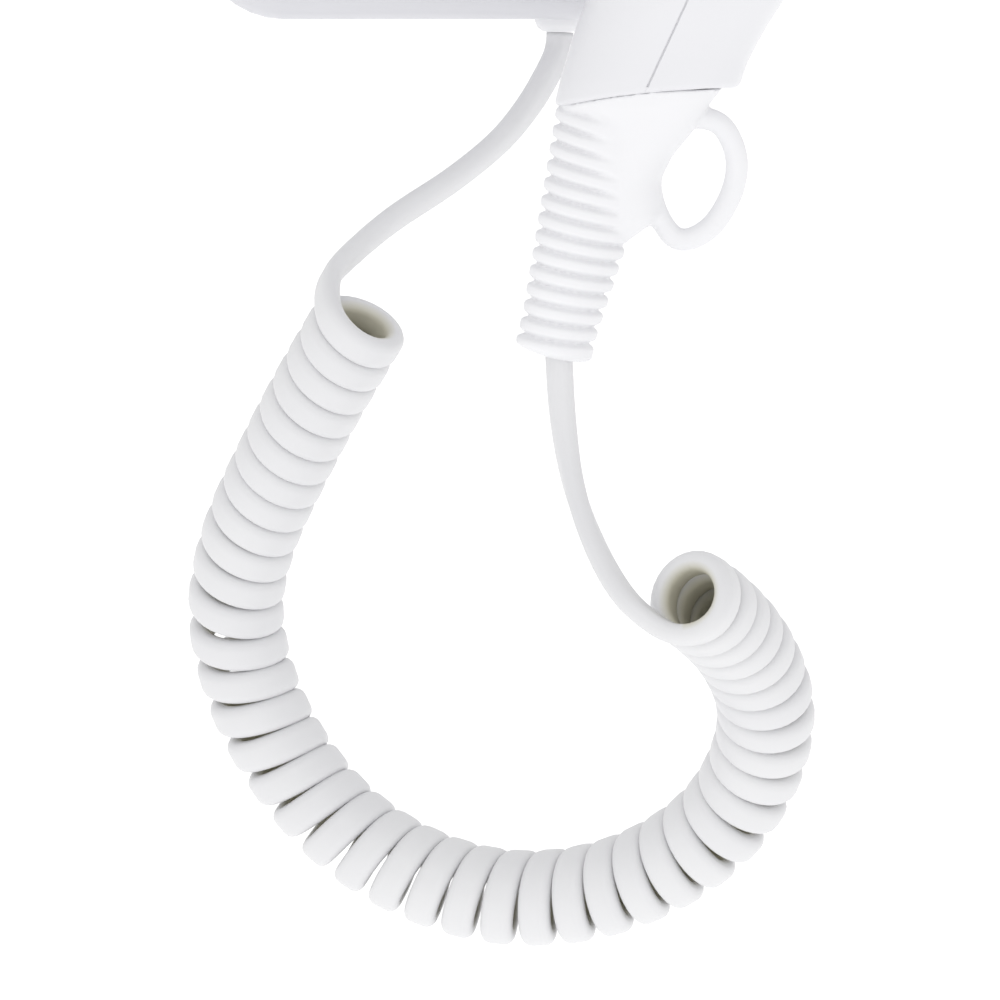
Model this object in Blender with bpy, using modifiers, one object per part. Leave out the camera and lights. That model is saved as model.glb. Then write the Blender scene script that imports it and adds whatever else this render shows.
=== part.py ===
"""Wall-mounted hotel hair dryer: a wall base with a round holder, a handset in the holder and a curly cord.

Metres, +Z up. The origin is the middle of the wall plate's back face, and the wall is the plane Y = 0.
The object stands out of the wall towards -Y. The handset lies parallel to the wall with its outlet towards -X.
"""

import math

import bmesh
import bpy
from mathutils import Matrix, Vector

# ---- general -------------------------------------------------------------------------------------------
GAP = 0.0003  # between pieces that seat on each other
RUN = 0.0006  # between pieces that move past each other
WALL = 0.0022  # moulded wall
TURN_STEPS = 36  # facets of a large turned piece
SMALL_STEPS = 24  # facets of a small turned piece

# ---- wall base -----------------------------------------------------------------------------------------
BASE_W = 0.120  # along X
BASE_H = 0.168  # along Z
BASE_D = 0.038  # out of the wall
BASE_CORNER = 0.017
BASE_EDGE = 0.006
PLATE_T = 0.003
SCREW_X = 0.036  # wall screws, from the middle
SCREW_Z = 0.058
SCREW_R = 0.0021
SCREW_HEAD_R = 0.0042
CABLE_HOLE_R = 0.010
CABLE_HOLE_Z = -0.030
GLAND_X = 0.0103
GLAND_Y = -0.020
GLAND_TOP_R = 0.0050
GLAND_TIP_R = 0.0039
GLAND_DROP = 0.0032
ROCKER_X = -0.036
ROCKER_Z = -0.048
ROCKER_W = 0.013
ROCKER_H = 0.021
ROCKER_DEPTH = 0.012
ROCKER_TILT = math.radians(7)  # off, and the same the other way is on
BEZEL_RIM = 0.0026
BEZEL_T = 0.0022
LENS_R = 0.0030
LENS_Z = -0.020
COVER_SCREW_X = 0.038
COVER_SCREW_Y = -0.014
COVER_HEAD_R = 0.0030

# ---- holder and barrel axis ----------------------------------------------------------------------------
AXIS_Z = 0.030
HOLDER_X0 = -0.055  # closed-lip end
HOLDER_X1 = -0.004  # open mouth
HOLDER_WALL = 0.0032
HOLDER_LIP = 0.003
HOLDER_PAD_T = 0.0012
HOLDER_FOOT_T = 0.003
HOLDER_FOOT_H = 0.060
HOLDER_NECK_H = 0.030

# ---- handset barrel ------------------------------------------------------------------------------------
NOSE_X = -0.050
NOSE_R = 0.0250
NOSE_LEN = 0.048
BARREL_R = 0.0360
BARREL_OFF = 0.002  # between the barrel and the base cover
AXIS_Y = -(BASE_D + BARREL_OFF + BARREL_R)
BARREL_TAIL_X = 0.108
TAIL_R = 0.0332
CAP_LEN = 0.006

# ---- handle --------------------------------------------------------------------------------------------
# middle X, Z, half width along X, half thickness along Y
HANDLE = (
    (0.0268, -0.0948, 0.0166, 0.0132),
    (0.0340, -0.0770, 0.0192, 0.0148),
    (0.0420, -0.0550, 0.0204, 0.0160),
    (0.0490, -0.0300, 0.0212, 0.0170),
    (0.0550, -0.0080, 0.0232, 0.0184),
    (0.0590, 0.0160, 0.0262, 0.0200),
)
HANDLE_SIDES = 32
HANDLE_TILT = 0.085  # the bottom rim rises by this slope towards +X
SEAM_X = 0.0256  # the seam at the bottom of the handle
SEAM_Z = -0.093
SEAM_LEAN = math.radians(24.4)

# ---- controls ------------------------------------------------------------------------------------------
SLIDER_Z = -0.030
BUTTON_Z = -0.058
SLIDER_TRAVEL = 0.004
SLIDER_W = 0.009
SLIDER_H = 0.010
SLIDER_PROUD = 0.0022
SKIRT_DEPTH = 0.0018  # the skirt's face behind the moulded wall, clear of the wall's curve
BUTTON_R = 0.0052
BUTTON_PROUD = 0.0018
BUTTON_TRAVEL = 0.0015

# ---- boot and cord -------------------------------------------------------------------------------------
BOOT_TOP = Vector((0.0215, AXIS_Y, -0.1000))
BOOT_TIP = Vector((0.0083, AXIS_Y - 0.002, -0.1425))
BOOT_TOP_R = 0.0114
BOOT_TIP_R = 0.0075
BOOT_RIBS = 13
HEAD_PROUD = 0.0004  # the smooth head stands this far over the first rib's root
RIB_DEPTH = 0.0011
LOOP_MID = Vector((0.0343, AXIS_Y, -0.1099))
LOOP_HALF_W = 0.0089
LOOP_HALF_H = 0.0121
LOOP_BAND_R = 0.0021
LOOP_LEAN = math.radians(16)
LEAD_R = 0.0026
COIL_R = 0.0094
COIL_ROUTE = (
    (-0.0280, -0.0520, -0.1420),
    (-0.0345, -0.0435, -0.1565),
    (-0.0415, -0.0350, -0.1710),
    (-0.0480, -0.0270, -0.1855),
    (-0.0525, -0.0205, -0.2000),
    (-0.0520, -0.0170, -0.2130),
    (-0.0480, -0.0165, -0.2250),
    (-0.0405, -0.0175, -0.2365),
    (-0.0300, -0.0205, -0.2460),
    (-0.0170, -0.0250, -0.2530),
    (-0.0015, -0.0300, -0.2565),
    (0.0145, -0.0350, -0.2550),
    (0.0290, -0.0405, -0.2490),
    (0.0410, -0.0465, -0.2390),
    (0.0480, -0.0540, -0.2260),
    (0.0495, -0.0650, -0.2120),
    (0.0440, -0.0800, -0.1980),
    (0.0345, -0.0990, -0.1865),
)
LEAD_BASE_ROUTE = (
    (GLAND_X, GLAND_Y, -BASE_H / 2 - GLAND_DROP - GAP),
    (GLAND_X, GLAND_Y, -0.0900),
    (0.0097, -0.0208, -0.0921),
    (0.0077, -0.0226, -0.0957),
    (0.0047, -0.0253, -0.1006),
    (-0.0012, -0.0293, -0.1076),
    (-0.0106, -0.0335, -0.1150),
    (-0.0222, -0.0382, -0.1222),
    (-0.0308, -0.0430, -0.1291),
    (-0.0336, -0.0460, -0.1324),
    (-0.0344, -0.0478, -0.1344),
)
LEAD_HANDSET_ROUTE = (
    (0.0100, -0.0780, -0.1445),
    (0.0102, -0.0790, -0.1520),
    (0.0110, -0.0807, -0.1594),
    (0.0123, -0.0832, -0.1666),
    (0.0145, -0.0866, -0.1737),
    (0.0177, -0.0907, -0.1807),
    (0.0211, -0.0945, -0.1862),
    (0.0242, -0.0970, -0.1894),
)

# ---- insides -------------------------------------------------------------------------------------------
FAN_X0 = 0.087
FAN_X1 = 0.099
FAN_HUB_R = 0.0095
FAN_TIP_R = 0.0295
FAN_BLADES = 9
BLADE_T = 0.0012
SHAFT_R = 0.0012
MOTOR_X0 = 0.052
MOTOR_X1 = 0.080
MOTOR_R = 0.0138
MOUNT_X0 = 0.062
MOUNT_X1 = 0.074
VANES = 7
HEATER_X0 = -0.030
HEATER_X1 = 0.040
MICA_T = 0.0008
MICA_HALF = 0.0190
WIRE_R = 0.0005
WIRE_COIL_R = 0.0200
SHIELD_R = 0.0212
SHIELD_T = 0.0006


def clear_scene():
    for o in list(bpy.data.objects):
        bpy.data.objects.remove(o, do_unlink=True)


clear_scene()
PARTS = bpy.data.collections.new("hair_dryer")
CUTTERS = bpy.data.collections.new("hair_dryer_cutters")
bpy.context.scene.collection.children.link(PARTS)
bpy.context.scene.collection.children.link(CUTTERS)


def material(name, color, roughness, metallic=0.0):
    m = bpy.data.materials.new(name)
    m.use_nodes = True
    shader = m.node_tree.nodes["Principled BSDF"]
    shader.inputs["Base Color"].default_value = (*color, 1)
    shader.inputs["Roughness"].default_value = roughness
    shader.inputs["Metallic"].default_value = metallic
    return m


def part(obj, color=(0.9, 0.9, 0.9), roughness=0.35, metallic=0.0, sharp=35):
    """Puts an object among the parts with its own material."""
    for c in list(obj.users_collection):
        c.objects.unlink(obj)
    PARTS.objects.link(obj)
    obj.data.materials.clear()
    obj.data.materials.append(material(obj.name, color, roughness, metallic))
    if obj.type == "MESH":
        obj.data.shade_smooth()
        obj.data.set_sharp_from_angle(angle=math.radians(sharp))
    return obj


def cutter(obj):
    for c in list(obj.users_collection):
        c.objects.unlink(obj)
    CUTTERS.objects.link(obj)
    obj.hide_render = True
    obj.display_type = "WIRE"
    return obj


def from_bmesh(name, bm):
    mesh = bpy.data.meshes.new(name)
    bmesh.ops.recalc_face_normals(bm, faces=bm.faces)
    bm.to_mesh(mesh)
    bm.free()
    obj = bpy.data.objects.new(name, mesh)
    PARTS.objects.link(obj)
    return obj


def box(name, low, high):
    bm = bmesh.new()
    bmesh.ops.create_cube(bm, size=1.0)
    low = Vector(low)
    high = Vector(high)
    size = high - low
    for v in bm.verts:
        v.co = Vector((v.co.x * size.x, v.co.y * size.y, v.co.z * size.z)) + (low + high) / 2
    return from_bmesh(name, bm)


def turned(name, profile, steps, closed, matrix):
    """A profile of (radius, height) turned about local Z. The profile runs top to bottom on its outer side."""
    mesh = bpy.data.meshes.new(name)
    points = [(r, 0.0, z) for r, z in profile]
    edges = [(i, i + 1) for i in range(len(points) - 1)]
    if closed:
        edges.append((len(points) - 1, 0))
    mesh.from_pydata(points, edges, [])
    obj = bpy.data.objects.new(name, mesh)
    PARTS.objects.link(obj)
    screw = obj.modifiers.new("turn", "SCREW")
    screw.steps = steps
    screw.render_steps = steps
    screw.use_merge_vertices = True
    screw.merge_threshold = 0.00001
    obj.matrix_world = matrix
    return obj


def along_x(x=0.0, y=AXIS_Y, z=AXIS_Z):
    """Local +Z lies along world +X."""
    return Matrix.Translation((x, y, z)) @ Matrix.Rotation(math.radians(90), 4, "Y")


def along(start, direction):
    """Local +Z lies along a direction."""
    turn = Vector((0, 0, 1)).rotation_difference(Vector(direction).normalized())
    return Matrix.Translation(start) @ turn.to_matrix().to_4x4()


def tube_profile(x0, x1, r_in, r_out):
    return [(r_out, x1), (r_out, x0), (r_in, x0), (r_in, x1)]


def baked(obj):
    """Makes an object's evaluated shape its own mesh in world space."""
    bpy.context.view_layer.update()
    graph = bpy.context.evaluated_depsgraph_get()
    mesh = bpy.data.meshes.new_from_object(obj.evaluated_get(graph))
    bm = bmesh.new()
    bm.from_mesh(mesh)
    bmesh.ops.transform(bm, matrix=obj.matrix_world, verts=bm.verts)
    bmesh.ops.remove_doubles(bm, verts=bm.verts, dist=0.000005)
    bmesh.ops.recalc_face_normals(bm, faces=bm.faces)
    bm.to_mesh(mesh)
    bm.free()
    name = obj.name
    bpy.data.objects.remove(obj, do_unlink=True)
    out = bpy.data.objects.new(name, mesh)
    PARTS.objects.link(out)
    return out


def boolean(obj, other, operation):
    m = obj.modifiers.new(operation.lower(), "BOOLEAN")
    m.operation = operation
    m.object = other
    m.solver = "EXACT"
    return obj


def cut(obj, *others):
    for other in others:
        boolean(obj, cutter(other), "DIFFERENCE")
    return obj


def join(obj, *others):
    for other in others:
        boolean(obj, cutter(other), "UNION")
    return obj


def copy_of(obj, name):
    out = bpy.data.objects.new(name, obj.data.copy())
    PARTS.objects.link(out)
    return out


def rounded_rect(width, height, radius, segments=6):
    points = []
    for cx, cy, start in ((1, 1, 0), (-1, 1, 90), (-1, -1, 180), (1, -1, 270)):
        for i in range(segments + 1):
            a = math.radians(start + 90 * i / segments)
            x = cx * (width / 2 - radius) + radius * math.cos(a)
            y = cy * (height / 2 - radius) + radius * math.sin(a)
            points.append((x, y))
    return points


def circle(radius, steps, x=0.0, y=0.0):
    return [
        (x + radius * math.cos(2 * math.pi * i / steps), y + radius * math.sin(2 * math.pi * i / steps))
        for i in range(steps)
    ]


def slab(name, outlines, thickness, matrix):
    """A flat outline, with holes, given thickness about its own middle plane."""
    curve = bpy.data.curves.new(name, "CURVE")
    curve.dimensions = "2D"
    curve.fill_mode = "BOTH"
    curve.extrude = thickness / 2
    for outline in outlines:
        spline = curve.splines.new("POLY")
        spline.points.add(len(outline) - 1)
        for p, (x, y) in zip(spline.points, outline):
            p.co = (x, y, 0, 1)
        spline.use_cyclic_u = True
    obj = bpy.data.objects.new(name, curve)
    PARTS.objects.link(obj)
    obj.matrix_world = matrix
    return baked(obj)


# Local X, Y of an outline lie along world X, Z, and its thickness lies along Y.
UPRIGHT = Matrix.Rotation(math.radians(90), 4, "X")


def upright(x, y, z):
    return Matrix.Translation((x, y, z)) @ UPRIGHT


def loft(name, rings):
    """A closed solid through rings of equal point counts."""
    bm = bmesh.new()
    loops = [[bm.verts.new(p) for p in ring] for ring in rings]
    for a, b in zip(loops, loops[1:]):
        for i in range(len(a)):
            j = (i + 1) % len(a)
            bm.faces.new((a[i], a[j], b[j], b[i]))
    bm.faces.new(loops[0])
    bm.faces.new(loops[-1])
    return from_bmesh(name, bm)


def smooth_route(points, count):
    """Points evenly spaced along a smooth curve through the route's own points."""
    p = [Vector(q) for q in points]
    p = [2 * p[0] - p[1]] + p + [2 * p[-1] - p[-2]]
    fine = []
    for i in range(1, len(p) - 2):
        for k in range(24):
            t = k / 24
            a = 2 * p[i]
            b = p[i + 1] - p[i - 1]
            c = 2 * p[i - 1] - 5 * p[i] + 4 * p[i + 1] - p[i + 2]
            d = 3 * p[i] - p[i - 1] - 3 * p[i + 1] + p[i + 2]
            fine.append((a + b * t + c * t * t + d * t * t * t) / 2)
    fine.append(p[-2])
    run = [0.0]
    for a, b in zip(fine, fine[1:]):
        run.append(run[-1] + (b - a).length)
    out = []
    j = 0
    for i in range(count):
        want = run[-1] * i / (count - 1)
        while j < len(run) - 2 and run[j + 1] < want:
            j += 1
        t = (want - run[j]) / (run[j + 1] - run[j])
        out.append(fine[j].lerp(fine[j + 1], t))
    return out


def tube(name, points, radius, resolution, cyclic=False):
    curve = bpy.data.curves.new(name, "CURVE")
    curve.dimensions = "3D"
    curve.bevel_depth = radius
    curve.bevel_resolution = resolution
    curve.use_fill_caps = True
    curve.twist_mode = "MINIMUM"
    spline = curve.splines.new("POLY")
    spline.points.add(len(points) - 1)
    for p, q in zip(spline.points, points):
        p.co = (*q, 1)
    spline.use_cyclic_u = cyclic
    obj = bpy.data.objects.new(name, curve)
    PARTS.objects.link(obj)
    return obj


WHITE = (0.93, 0.93, 0.93)
SOFT_WHITE = (0.90, 0.90, 0.91)
GREY = (0.55, 0.55, 0.57)
DARK = (0.08, 0.08, 0.09)
STEEL = (0.70, 0.70, 0.72)
BRASS = (0.72, 0.56, 0.25)
MICA = (0.80, 0.70, 0.50)

# ======== wall base =====================================================================================
plate_w = BASE_W - 2 * WALL - 2 * GAP
plate_h = BASE_H - 2 * WALL - 2 * GAP
plate_corner = BASE_CORNER - WALL - GAP
screw_places = [(sx * SCREW_X, sz * SCREW_Z) for sx in (-1, 1) for sz in (-1, 1)]
plate_holes = [circle(SCREW_R + RUN, 16, x, z) for x, z in screw_places]
plate_holes.append(circle(CABLE_HOLE_R, SMALL_STEPS, 0.0, CABLE_HOLE_Z))
wall_plate = slab(
    "wall_plate",
    [rounded_rect(plate_w, plate_h, plate_corner)] + plate_holes,
    PLATE_T,
    upright(0, -PLATE_T / 2, 0),
)
part(wall_plate, GREY, 0.5)

for number, (x, z) in enumerate(screw_places, 1):
    head_y = -PLATE_T - GAP
    profile = [
        (0.0, 0.0026),
        (SCREW_HEAD_R * 0.7, 0.0023),
        (SCREW_HEAD_R, 0.0010),
        (SCREW_HEAD_R, 0.0),
        (SCREW_R, 0.0),
        (SCREW_R, -PLATE_T),
        (0.0, -PLATE_T),
    ]
    screw = turned(f"wall_screw_{number}", profile, 16, False, along((x, head_y, z), (0, -1, 0)))
    slot = box(f"wall_screw_slot_{number}", (x - 0.003, head_y - 0.004, z - 0.0005), (x + 0.003, head_y - 0.0016, z + 0.0005))
    screw = baked(screw)
    part(cut(screw, slot), STEEL, 0.3, 1.0)

def base_ring(y, inset):
    outline = rounded_rect(BASE_W - 2 * inset, BASE_H - 2 * inset, BASE_CORNER - inset, 8)
    return [(x, y, z) for x, z in outline]


cover_rings = [base_ring(-GAP, 0.0)]
for i in range(5):
    a = math.radians(90 * i / 4)
    y = -BASE_D + BASE_EDGE * (1 - math.sin(a))
    cover_rings.append(base_ring(y, BASE_EDGE * (1 - math.cos(a))))
cover = loft("base_cover", cover_rings)
cavity = slab(
    "base_cavity",
    [rounded_rect(BASE_W - 2 * WALL, BASE_H - 2 * WALL, BASE_CORNER - WALL, 8)],
    BASE_D + 0.002,
    upright(0, -BASE_D / 2 + WALL + 0.001, 0),
)
cut(cover, cavity)
rocker_hole_w = ROCKER_W + 2 * BEZEL_RIM * 0.4
rocker_hole_h = ROCKER_H + 2 * BEZEL_RIM * 0.4
rocker_hole = slab(
    "rocker_hole",
    [rounded_rect(rocker_hole_w + 2 * GAP, rocker_hole_h + 2 * GAP, 0.002, 3)],
    0.02,
    upright(ROCKER_X, -BASE_D, ROCKER_Z),
)
cut(cover, rocker_hole)
lens_hole = slab(
    "lens_hole", [circle(LENS_R + GAP, 16)], 0.02, upright(ROCKER_X, -BASE_D, ROCKER_Z - LENS_Z)
)
cut(cover, lens_hole)
gland_hole = turned(
    "gland_hole",
    [(0.0, 0.01), (GLAND_TIP_R + GAP, 0.01), (GLAND_TIP_R + GAP, -0.01), (0.0, -0.01)],
    SMALL_STEPS,
    False,
    Matrix.Translation((GLAND_X, GLAND_Y, -BASE_H / 2)),
)
cut(cover, baked(gland_hole))
for number, x in enumerate((-COVER_SCREW_X, COVER_SCREW_X), 1):
    hole = turned(
        f"cover_screw_hole_{number}",
        [(0.0, 0.01), (COVER_HEAD_R + GAP, 0.01), (COVER_HEAD_R + GAP, -0.01), (0.0, -0.01)],
        16,
        False,
        Matrix.Translation((x, COVER_SCREW_Y, -BASE_H / 2)),
    )
    cut(cover, baked(hole))
    profile = [
        (0.0, 0.009),
        (SCREW_R * 0.7, 0.009),
        (SCREW_R * 0.7, 0.0024),
        (COVER_HEAD_R, 0.0024),
        (COVER_HEAD_R, 0.0008),
        (COVER_HEAD_R * 0.7, 0.0004),
        (0.0, 0.0004),
    ]
    screw = baked(
        turned(
            f"cover_screw_{number}", profile, 16, False, Matrix.Translation((x, COVER_SCREW_Y, -BASE_H / 2))
        )
    )
    slot = box(
        f"cover_screw_slot_{number}",
        (x - 0.0018, COVER_SCREW_Y - 0.0004, -BASE_H / 2 - 0.003),
        (x + 0.0018, COVER_SCREW_Y + 0.0004, -BASE_H / 2 + 0.0014),
    )
    part(cut(screw, slot), STEEL, 0.3, 1.0)
part(cover, WHITE, 0.3)

# gland: a collar inside the cover, a waist in the hole and a short nub below it
inner_z = WALL + GAP
gland_profile = [
    (0.0, inner_z + 0.0025),
    (GLAND_TOP_R + 0.0015, inner_z + 0.0025),
    (GLAND_TOP_R + 0.0015, inner_z),
    (GLAND_TIP_R, inner_z),
    (GLAND_TIP_R, -GAP),
    (GLAND_TOP_R, -GAP),
    (GLAND_TOP_R * 0.97, -GLAND_DROP * 0.45),
    (GLAND_TOP_R * 0.88, -GLAND_DROP * 0.78),
    (GLAND_TIP_R * 0.90, -GLAND_DROP),
    (0.0, -GLAND_DROP),
]
gland = turned(
    "base_gland", gland_profile, SMALL_STEPS, False, Matrix.Translation((GLAND_X, GLAND_Y, -BASE_H / 2))
)
part(baked(gland), SOFT_WHITE, 0.45)

# rocker switch: bezel, switch body behind it and the rocker on its own axis
bezel_y = -BASE_D - GAP
bezel = slab(
    "rocker_bezel",
    [
        rounded_rect(ROCKER_W + 2 * BEZEL_RIM, ROCKER_H + 2 * BEZEL_RIM, 0.003, 4),
        rounded_rect(ROCKER_W + 2 * RUN, ROCKER_H + 2 * RUN, 0.001, 2),
    ],
    BEZEL_T,
    upright(ROCKER_X, bezel_y - BEZEL_T / 2, ROCKER_Z),
)
part(bezel, GREY, 0.4)
switch_front = -BASE_D + WALL + 0.004
switch_shell = slab(
    "rocker_switch_body",
    [rounded_rect(ROCKER_W + 0.004, ROCKER_H + 0.002, 0.001, 2)],
    ROCKER_DEPTH,
    upright(ROCKER_X, switch_front + ROCKER_DEPTH / 2, ROCKER_Z),
)
part(switch_shell, DARK, 0.5)
rocker_axis_y = -BASE_D + 0.0005
rocker_half = ROCKER_H / 2
rocker_outline = []
for i in range(9):
    s = -1 + 2 * i / 8
    rocker_outline.append((s * rocker_half, 0.0030 + 0.0022 * s * s))
rocker_outline += [(rocker_half, -0.0005), (0.006, -0.0042), (-0.006, -0.0042), (-rocker_half, -0.0005)]
bm = bmesh.new()
left = [bm.verts.new((ROCKER_X - ROCKER_W / 2, rocker_axis_y - q, ROCKER_Z + p)) for p, q in rocker_outline]
face = bm.faces.new(left)
grown = bmesh.ops.extrude_face_region(bm, geom=[face])
moved = [g for g in grown["geom"] if isinstance(g, bmesh.types.BMVert)]
bmesh.ops.translate(bm, verts=moved, vec=(ROCKER_W, 0, 0))
rocker = from_bmesh("rocker", bm)
rocker_axis = Vector((ROCKER_X, rocker_axis_y, ROCKER_Z))
rocker.data.transform(Matrix.Translation(-rocker_axis))
rocker.location = rocker_axis
rocker.rotation_euler = (ROCKER_TILT, 0, 0)
soft = rocker.modifiers.new("edge", "BEVEL")
soft.width = 0.0005
soft.segments = 2
soft.limit_method = "ANGLE"
soft.angle_limit = math.radians(40)
part(rocker, WHITE, 0.3)

lens_profile = [
    (0.0, 0.0014),
    (LENS_R * 0.6, 0.0011),
    (LENS_R, 0.0),
    (LENS_R, -0.0060),
    (0.0, -0.0060),
]
lens = turned("pilot_lens", lens_profile, 16, False, along((ROCKER_X, -BASE_D, ROCKER_Z - LENS_Z), (0, -1, 0)))
part(baked(lens), (0.85, 0.25, 0.12), 0.15)

# mains terminal block on the wall plate, with its cord clamp
terminal = box("terminal_block", (-0.018, -0.017, 0.004), (0.018, -PLATE_T - GAP, 0.017))
soft = terminal.modifiers.new("edge", "BEVEL")
soft.width = 0.001
soft.segments = 2
for i in range(3):
    x = -0.012 + 0.012 * i
    hole = turned(
        f"terminal_hole_{i}",
        [(0.0, 0.004), (0.0024, 0.004), (0.0024, -0.004), (0.0, -0.004)],
        12,
        False,
        along((x, -0.017, 0.0105), (0, -1, 0)),
    )
    cut(terminal, baked(hole))
part(terminal, SOFT_WHITE, 0.5)
for i in range(3):
    x = -0.012 + 0.012 * i
    profile = [(0.0, 0.001), (0.0019, 0.001), (0.0019, -0.002), (0.0, -0.002)]
    screw = turned(f"terminal_screw_{i + 1}", profile, 12, False, along((x, -0.015, 0.0105), (0, -1, 0)))
    part(baked(screw), BRASS, 0.3, 1.0)

# ======== holder ========================================================================================
holder_in = NOSE_R + RUN + HOLDER_PAD_T + GAP
holder_out = holder_in + HOLDER_WALL
holder = turned(
    "holder",
    [
        (holder_out - 0.001, HOLDER_X1),
        (holder_out, HOLDER_X1 - 0.001),
        (holder_out, HOLDER_X0 + 0.002),
        (holder_out - 0.002, HOLDER_X0),
        (holder_in - HOLDER_LIP, HOLDER_X0),
        (holder_in - HOLDER_LIP, HOLDER_X0 + 0.0025),
        (holder_in, HOLDER_X0 + 0.0025),
        (holder_in, HOLDER_X1 - 0.001),
        (holder_in + 0.001, HOLDER_X1),
    ],
    TURN_STEPS,
    True,
    along_x(),
)
holder = baked(holder)
holder_mid = (HOLDER_X0 + HOLDER_X1) / 2
foot_back = -BASE_D - GAP
holder_bore = baked(
    turned(
        "holder_bore",
        [
            (0.0, HOLDER_X1 + 0.01),
            (holder_in + 0.0004, HOLDER_X1 + 0.01),
            (holder_in + 0.0004, HOLDER_X0 - 0.01),
            (0.0, HOLDER_X0 - 0.01),
        ],
        TURN_STEPS,
        False,
        along_x(),
    )
)
neck_front = AXIS_Y + 0.6 * holder_out
neck = slab(
    "holder_neck",
    [rounded_rect(HOLDER_X1 - HOLDER_X0 - 0.008, HOLDER_NECK_H, 0.006, 4)],
    foot_back - neck_front,
    upright(holder_mid, (foot_back + neck_front) / 2, AXIS_Z),
)
cut(neck, holder_bore)
foot = slab(
    "holder_foot",
    [rounded_rect(HOLDER_X1 - HOLDER_X0, HOLDER_FOOT_H, 0.008, 5)],
    HOLDER_FOOT_T,
    upright(holder_mid, foot_back - HOLDER_FOOT_T / 2, AXIS_Z),
)
join(holder, neck, foot)
part(holder, WHITE, 0.3)
pad_x0 = HOLDER_X0 + 0.006
pad_x1 = HOLDER_X1 - 0.003
for number, turn in enumerate((-45, 45), 1):
    arc = []
    pad_r0 = holder_in - GAP - HOLDER_PAD_T
    pad_r1 = holder_in - GAP
    for r, order in ((pad_r1, range(0, 9)), (pad_r0, range(8, -1, -1))):
        for i in order:
            a = math.radians(-90 + turn - 16 + 32 * i / 8)
            arc.append((r * math.cos(a), r * math.sin(a)))
    frame = Matrix.Translation(((pad_x0 + pad_x1) / 2, AXIS_Y, AXIS_Z))
    frame = frame @ Matrix.Rotation(math.radians(90), 4, "Z") @ Matrix.Rotation(math.radians(90), 4, "X")
    pad = slab(f"holder_pad_{number}", [arc], pad_x1 - pad_x0, frame)
    part(pad, GREY, 0.8)

# ======== handset shells ================================================================================
step_x = NOSE_X + NOSE_LEN
barrel_line = [
    (NOSE_X, NOSE_R),
    (step_x, NOSE_R),
    (step_x + 0.010, NOSE_R + 0.0024),
    (step_x + 0.026, NOSE_R + 0.0068),
    (step_x + 0.046, BARREL_R - 0.0010),
    (step_x + 0.064, BARREL_R),
    (BARREL_TAIL_X - 0.024, BARREL_R),
    (BARREL_TAIL_X - 0.009, BARREL_R - 0.0012),
    (BARREL_TAIL_X, TAIL_R),
]


def barrel_radius(x):
    for (x0, r0), (x1, r1) in zip(barrel_line, barrel_line[1:]):
        if x0 <= x <= x1:
            return r0 + (r1 - r0) * (x - x0) / (x1 - x0)
    return barrel_line[-1][1] if x > barrel_line[-1][0] else barrel_line[0][1]


def barrel_solid(name, inset, ends):
    line = [(max(r - inset, 0.001), x) for x, r in reversed(barrel_line)]
    if ends:
        line = [(line[0][0], line[0][1] + ends)] + line + [(line[-1][0], line[-1][1] - ends)]
    profile = [(0.0, line[0][1])] + line + [(0.0, line[-1][1])]
    return baked(turned(name, profile, TURN_STEPS, False, along_x(0.0)))


def handle_section(height, inset=0.0):
    """Middle X and the half sizes of the handle at a height, smoothly through the table."""
    rows = sorted(HANDLE, key=lambda q: q[1])
    rows = [tuple(2 * a - b for a, b in zip(rows[0], rows[1]))] + rows
    rows = rows + [tuple(2 * a - b for a, b in zip(rows[-1], rows[-2]))]
    for i in range(1, len(rows) - 2):
        if height <= rows[i + 1][1] or i == len(rows) - 3:
            t = (height - rows[i][1]) / (rows[i + 1][1] - rows[i][1])
            out = []
            for k in (0, 2, 3):
                p0, p1, p2, p3 = (rows[j][k] for j in (i - 1, i, i + 1, i + 2))
                out.append(
                    (2 * p1 + (p2 - p0) * t + (2 * p0 - 5 * p1 + 4 * p2 - p3) * t**2 + (3 * p1 - p0 - 3 * p2 + p3) * t**3)
                    / 2
                )
            return out[0], out[1] - inset, out[2] - inset
    return None


def squircle(half_a, half_b, steps, power=2.5):
    points = []
    for i in range(steps):
        a = 2 * math.pi * i / steps
        c = math.cos(a)
        s = math.sin(a)
        x = math.copysign(abs(c) ** (2 / power), c) * half_a
        y = math.copysign(abs(s) ** (2 / power), s) * half_b
        points.append((x, y))
    return points


def handle_solid(name, inset, bottom, top, rows=10):
    rings = []
    for k in range(rows):
        z = bottom + (top - bottom) * k / (rows - 1)
        x, half_x, half_y = handle_section(z, inset)
        tilt = HANDLE_TILT * (1 - k / (rows - 1))
        ring = []
        for dx, dy in squircle(half_x, half_y, HANDLE_SIDES):
            ring.append((x + dx, AXIS_Y + dy, z + dx * tilt))
        rings.append(ring)
    return loft(name, rings)


handle_bottom = HANDLE[0][1]
handle_top = HANDLE[-1][1]
shell = barrel_solid("shell", 0.0, 0.0)
outer_handle = handle_solid("outer_handle", 0.0, handle_bottom, handle_top)
join(shell, outer_handle)
shell = baked(shell)
hollow = barrel_solid("hollow", WALL, 0.01)
inner_handle = handle_solid("inner_handle", WALL, handle_bottom + WALL, handle_top - WALL)
join(hollow, inner_handle)
hollow = baked(hollow)
cut(shell, hollow)
shell = baked(shell)

# opening in the handle's floor for the boot's collar
boot_axis = (BOOT_TIP - BOOT_TOP).normalized()
collar_x = HANDLE[0][0] - 0.002
collar_r = 0.0075
collar_hole = turned(
    "collar_hole",
    [(0.0, 0.02), (collar_r + GAP, 0.02), (collar_r + GAP, -0.02), (0.0, -0.02)],
    SMALL_STEPS,
    False,
    Matrix.Translation((collar_x, AXIS_Y, handle_bottom)),
)
cut(shell, baked(collar_hole))


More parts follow.
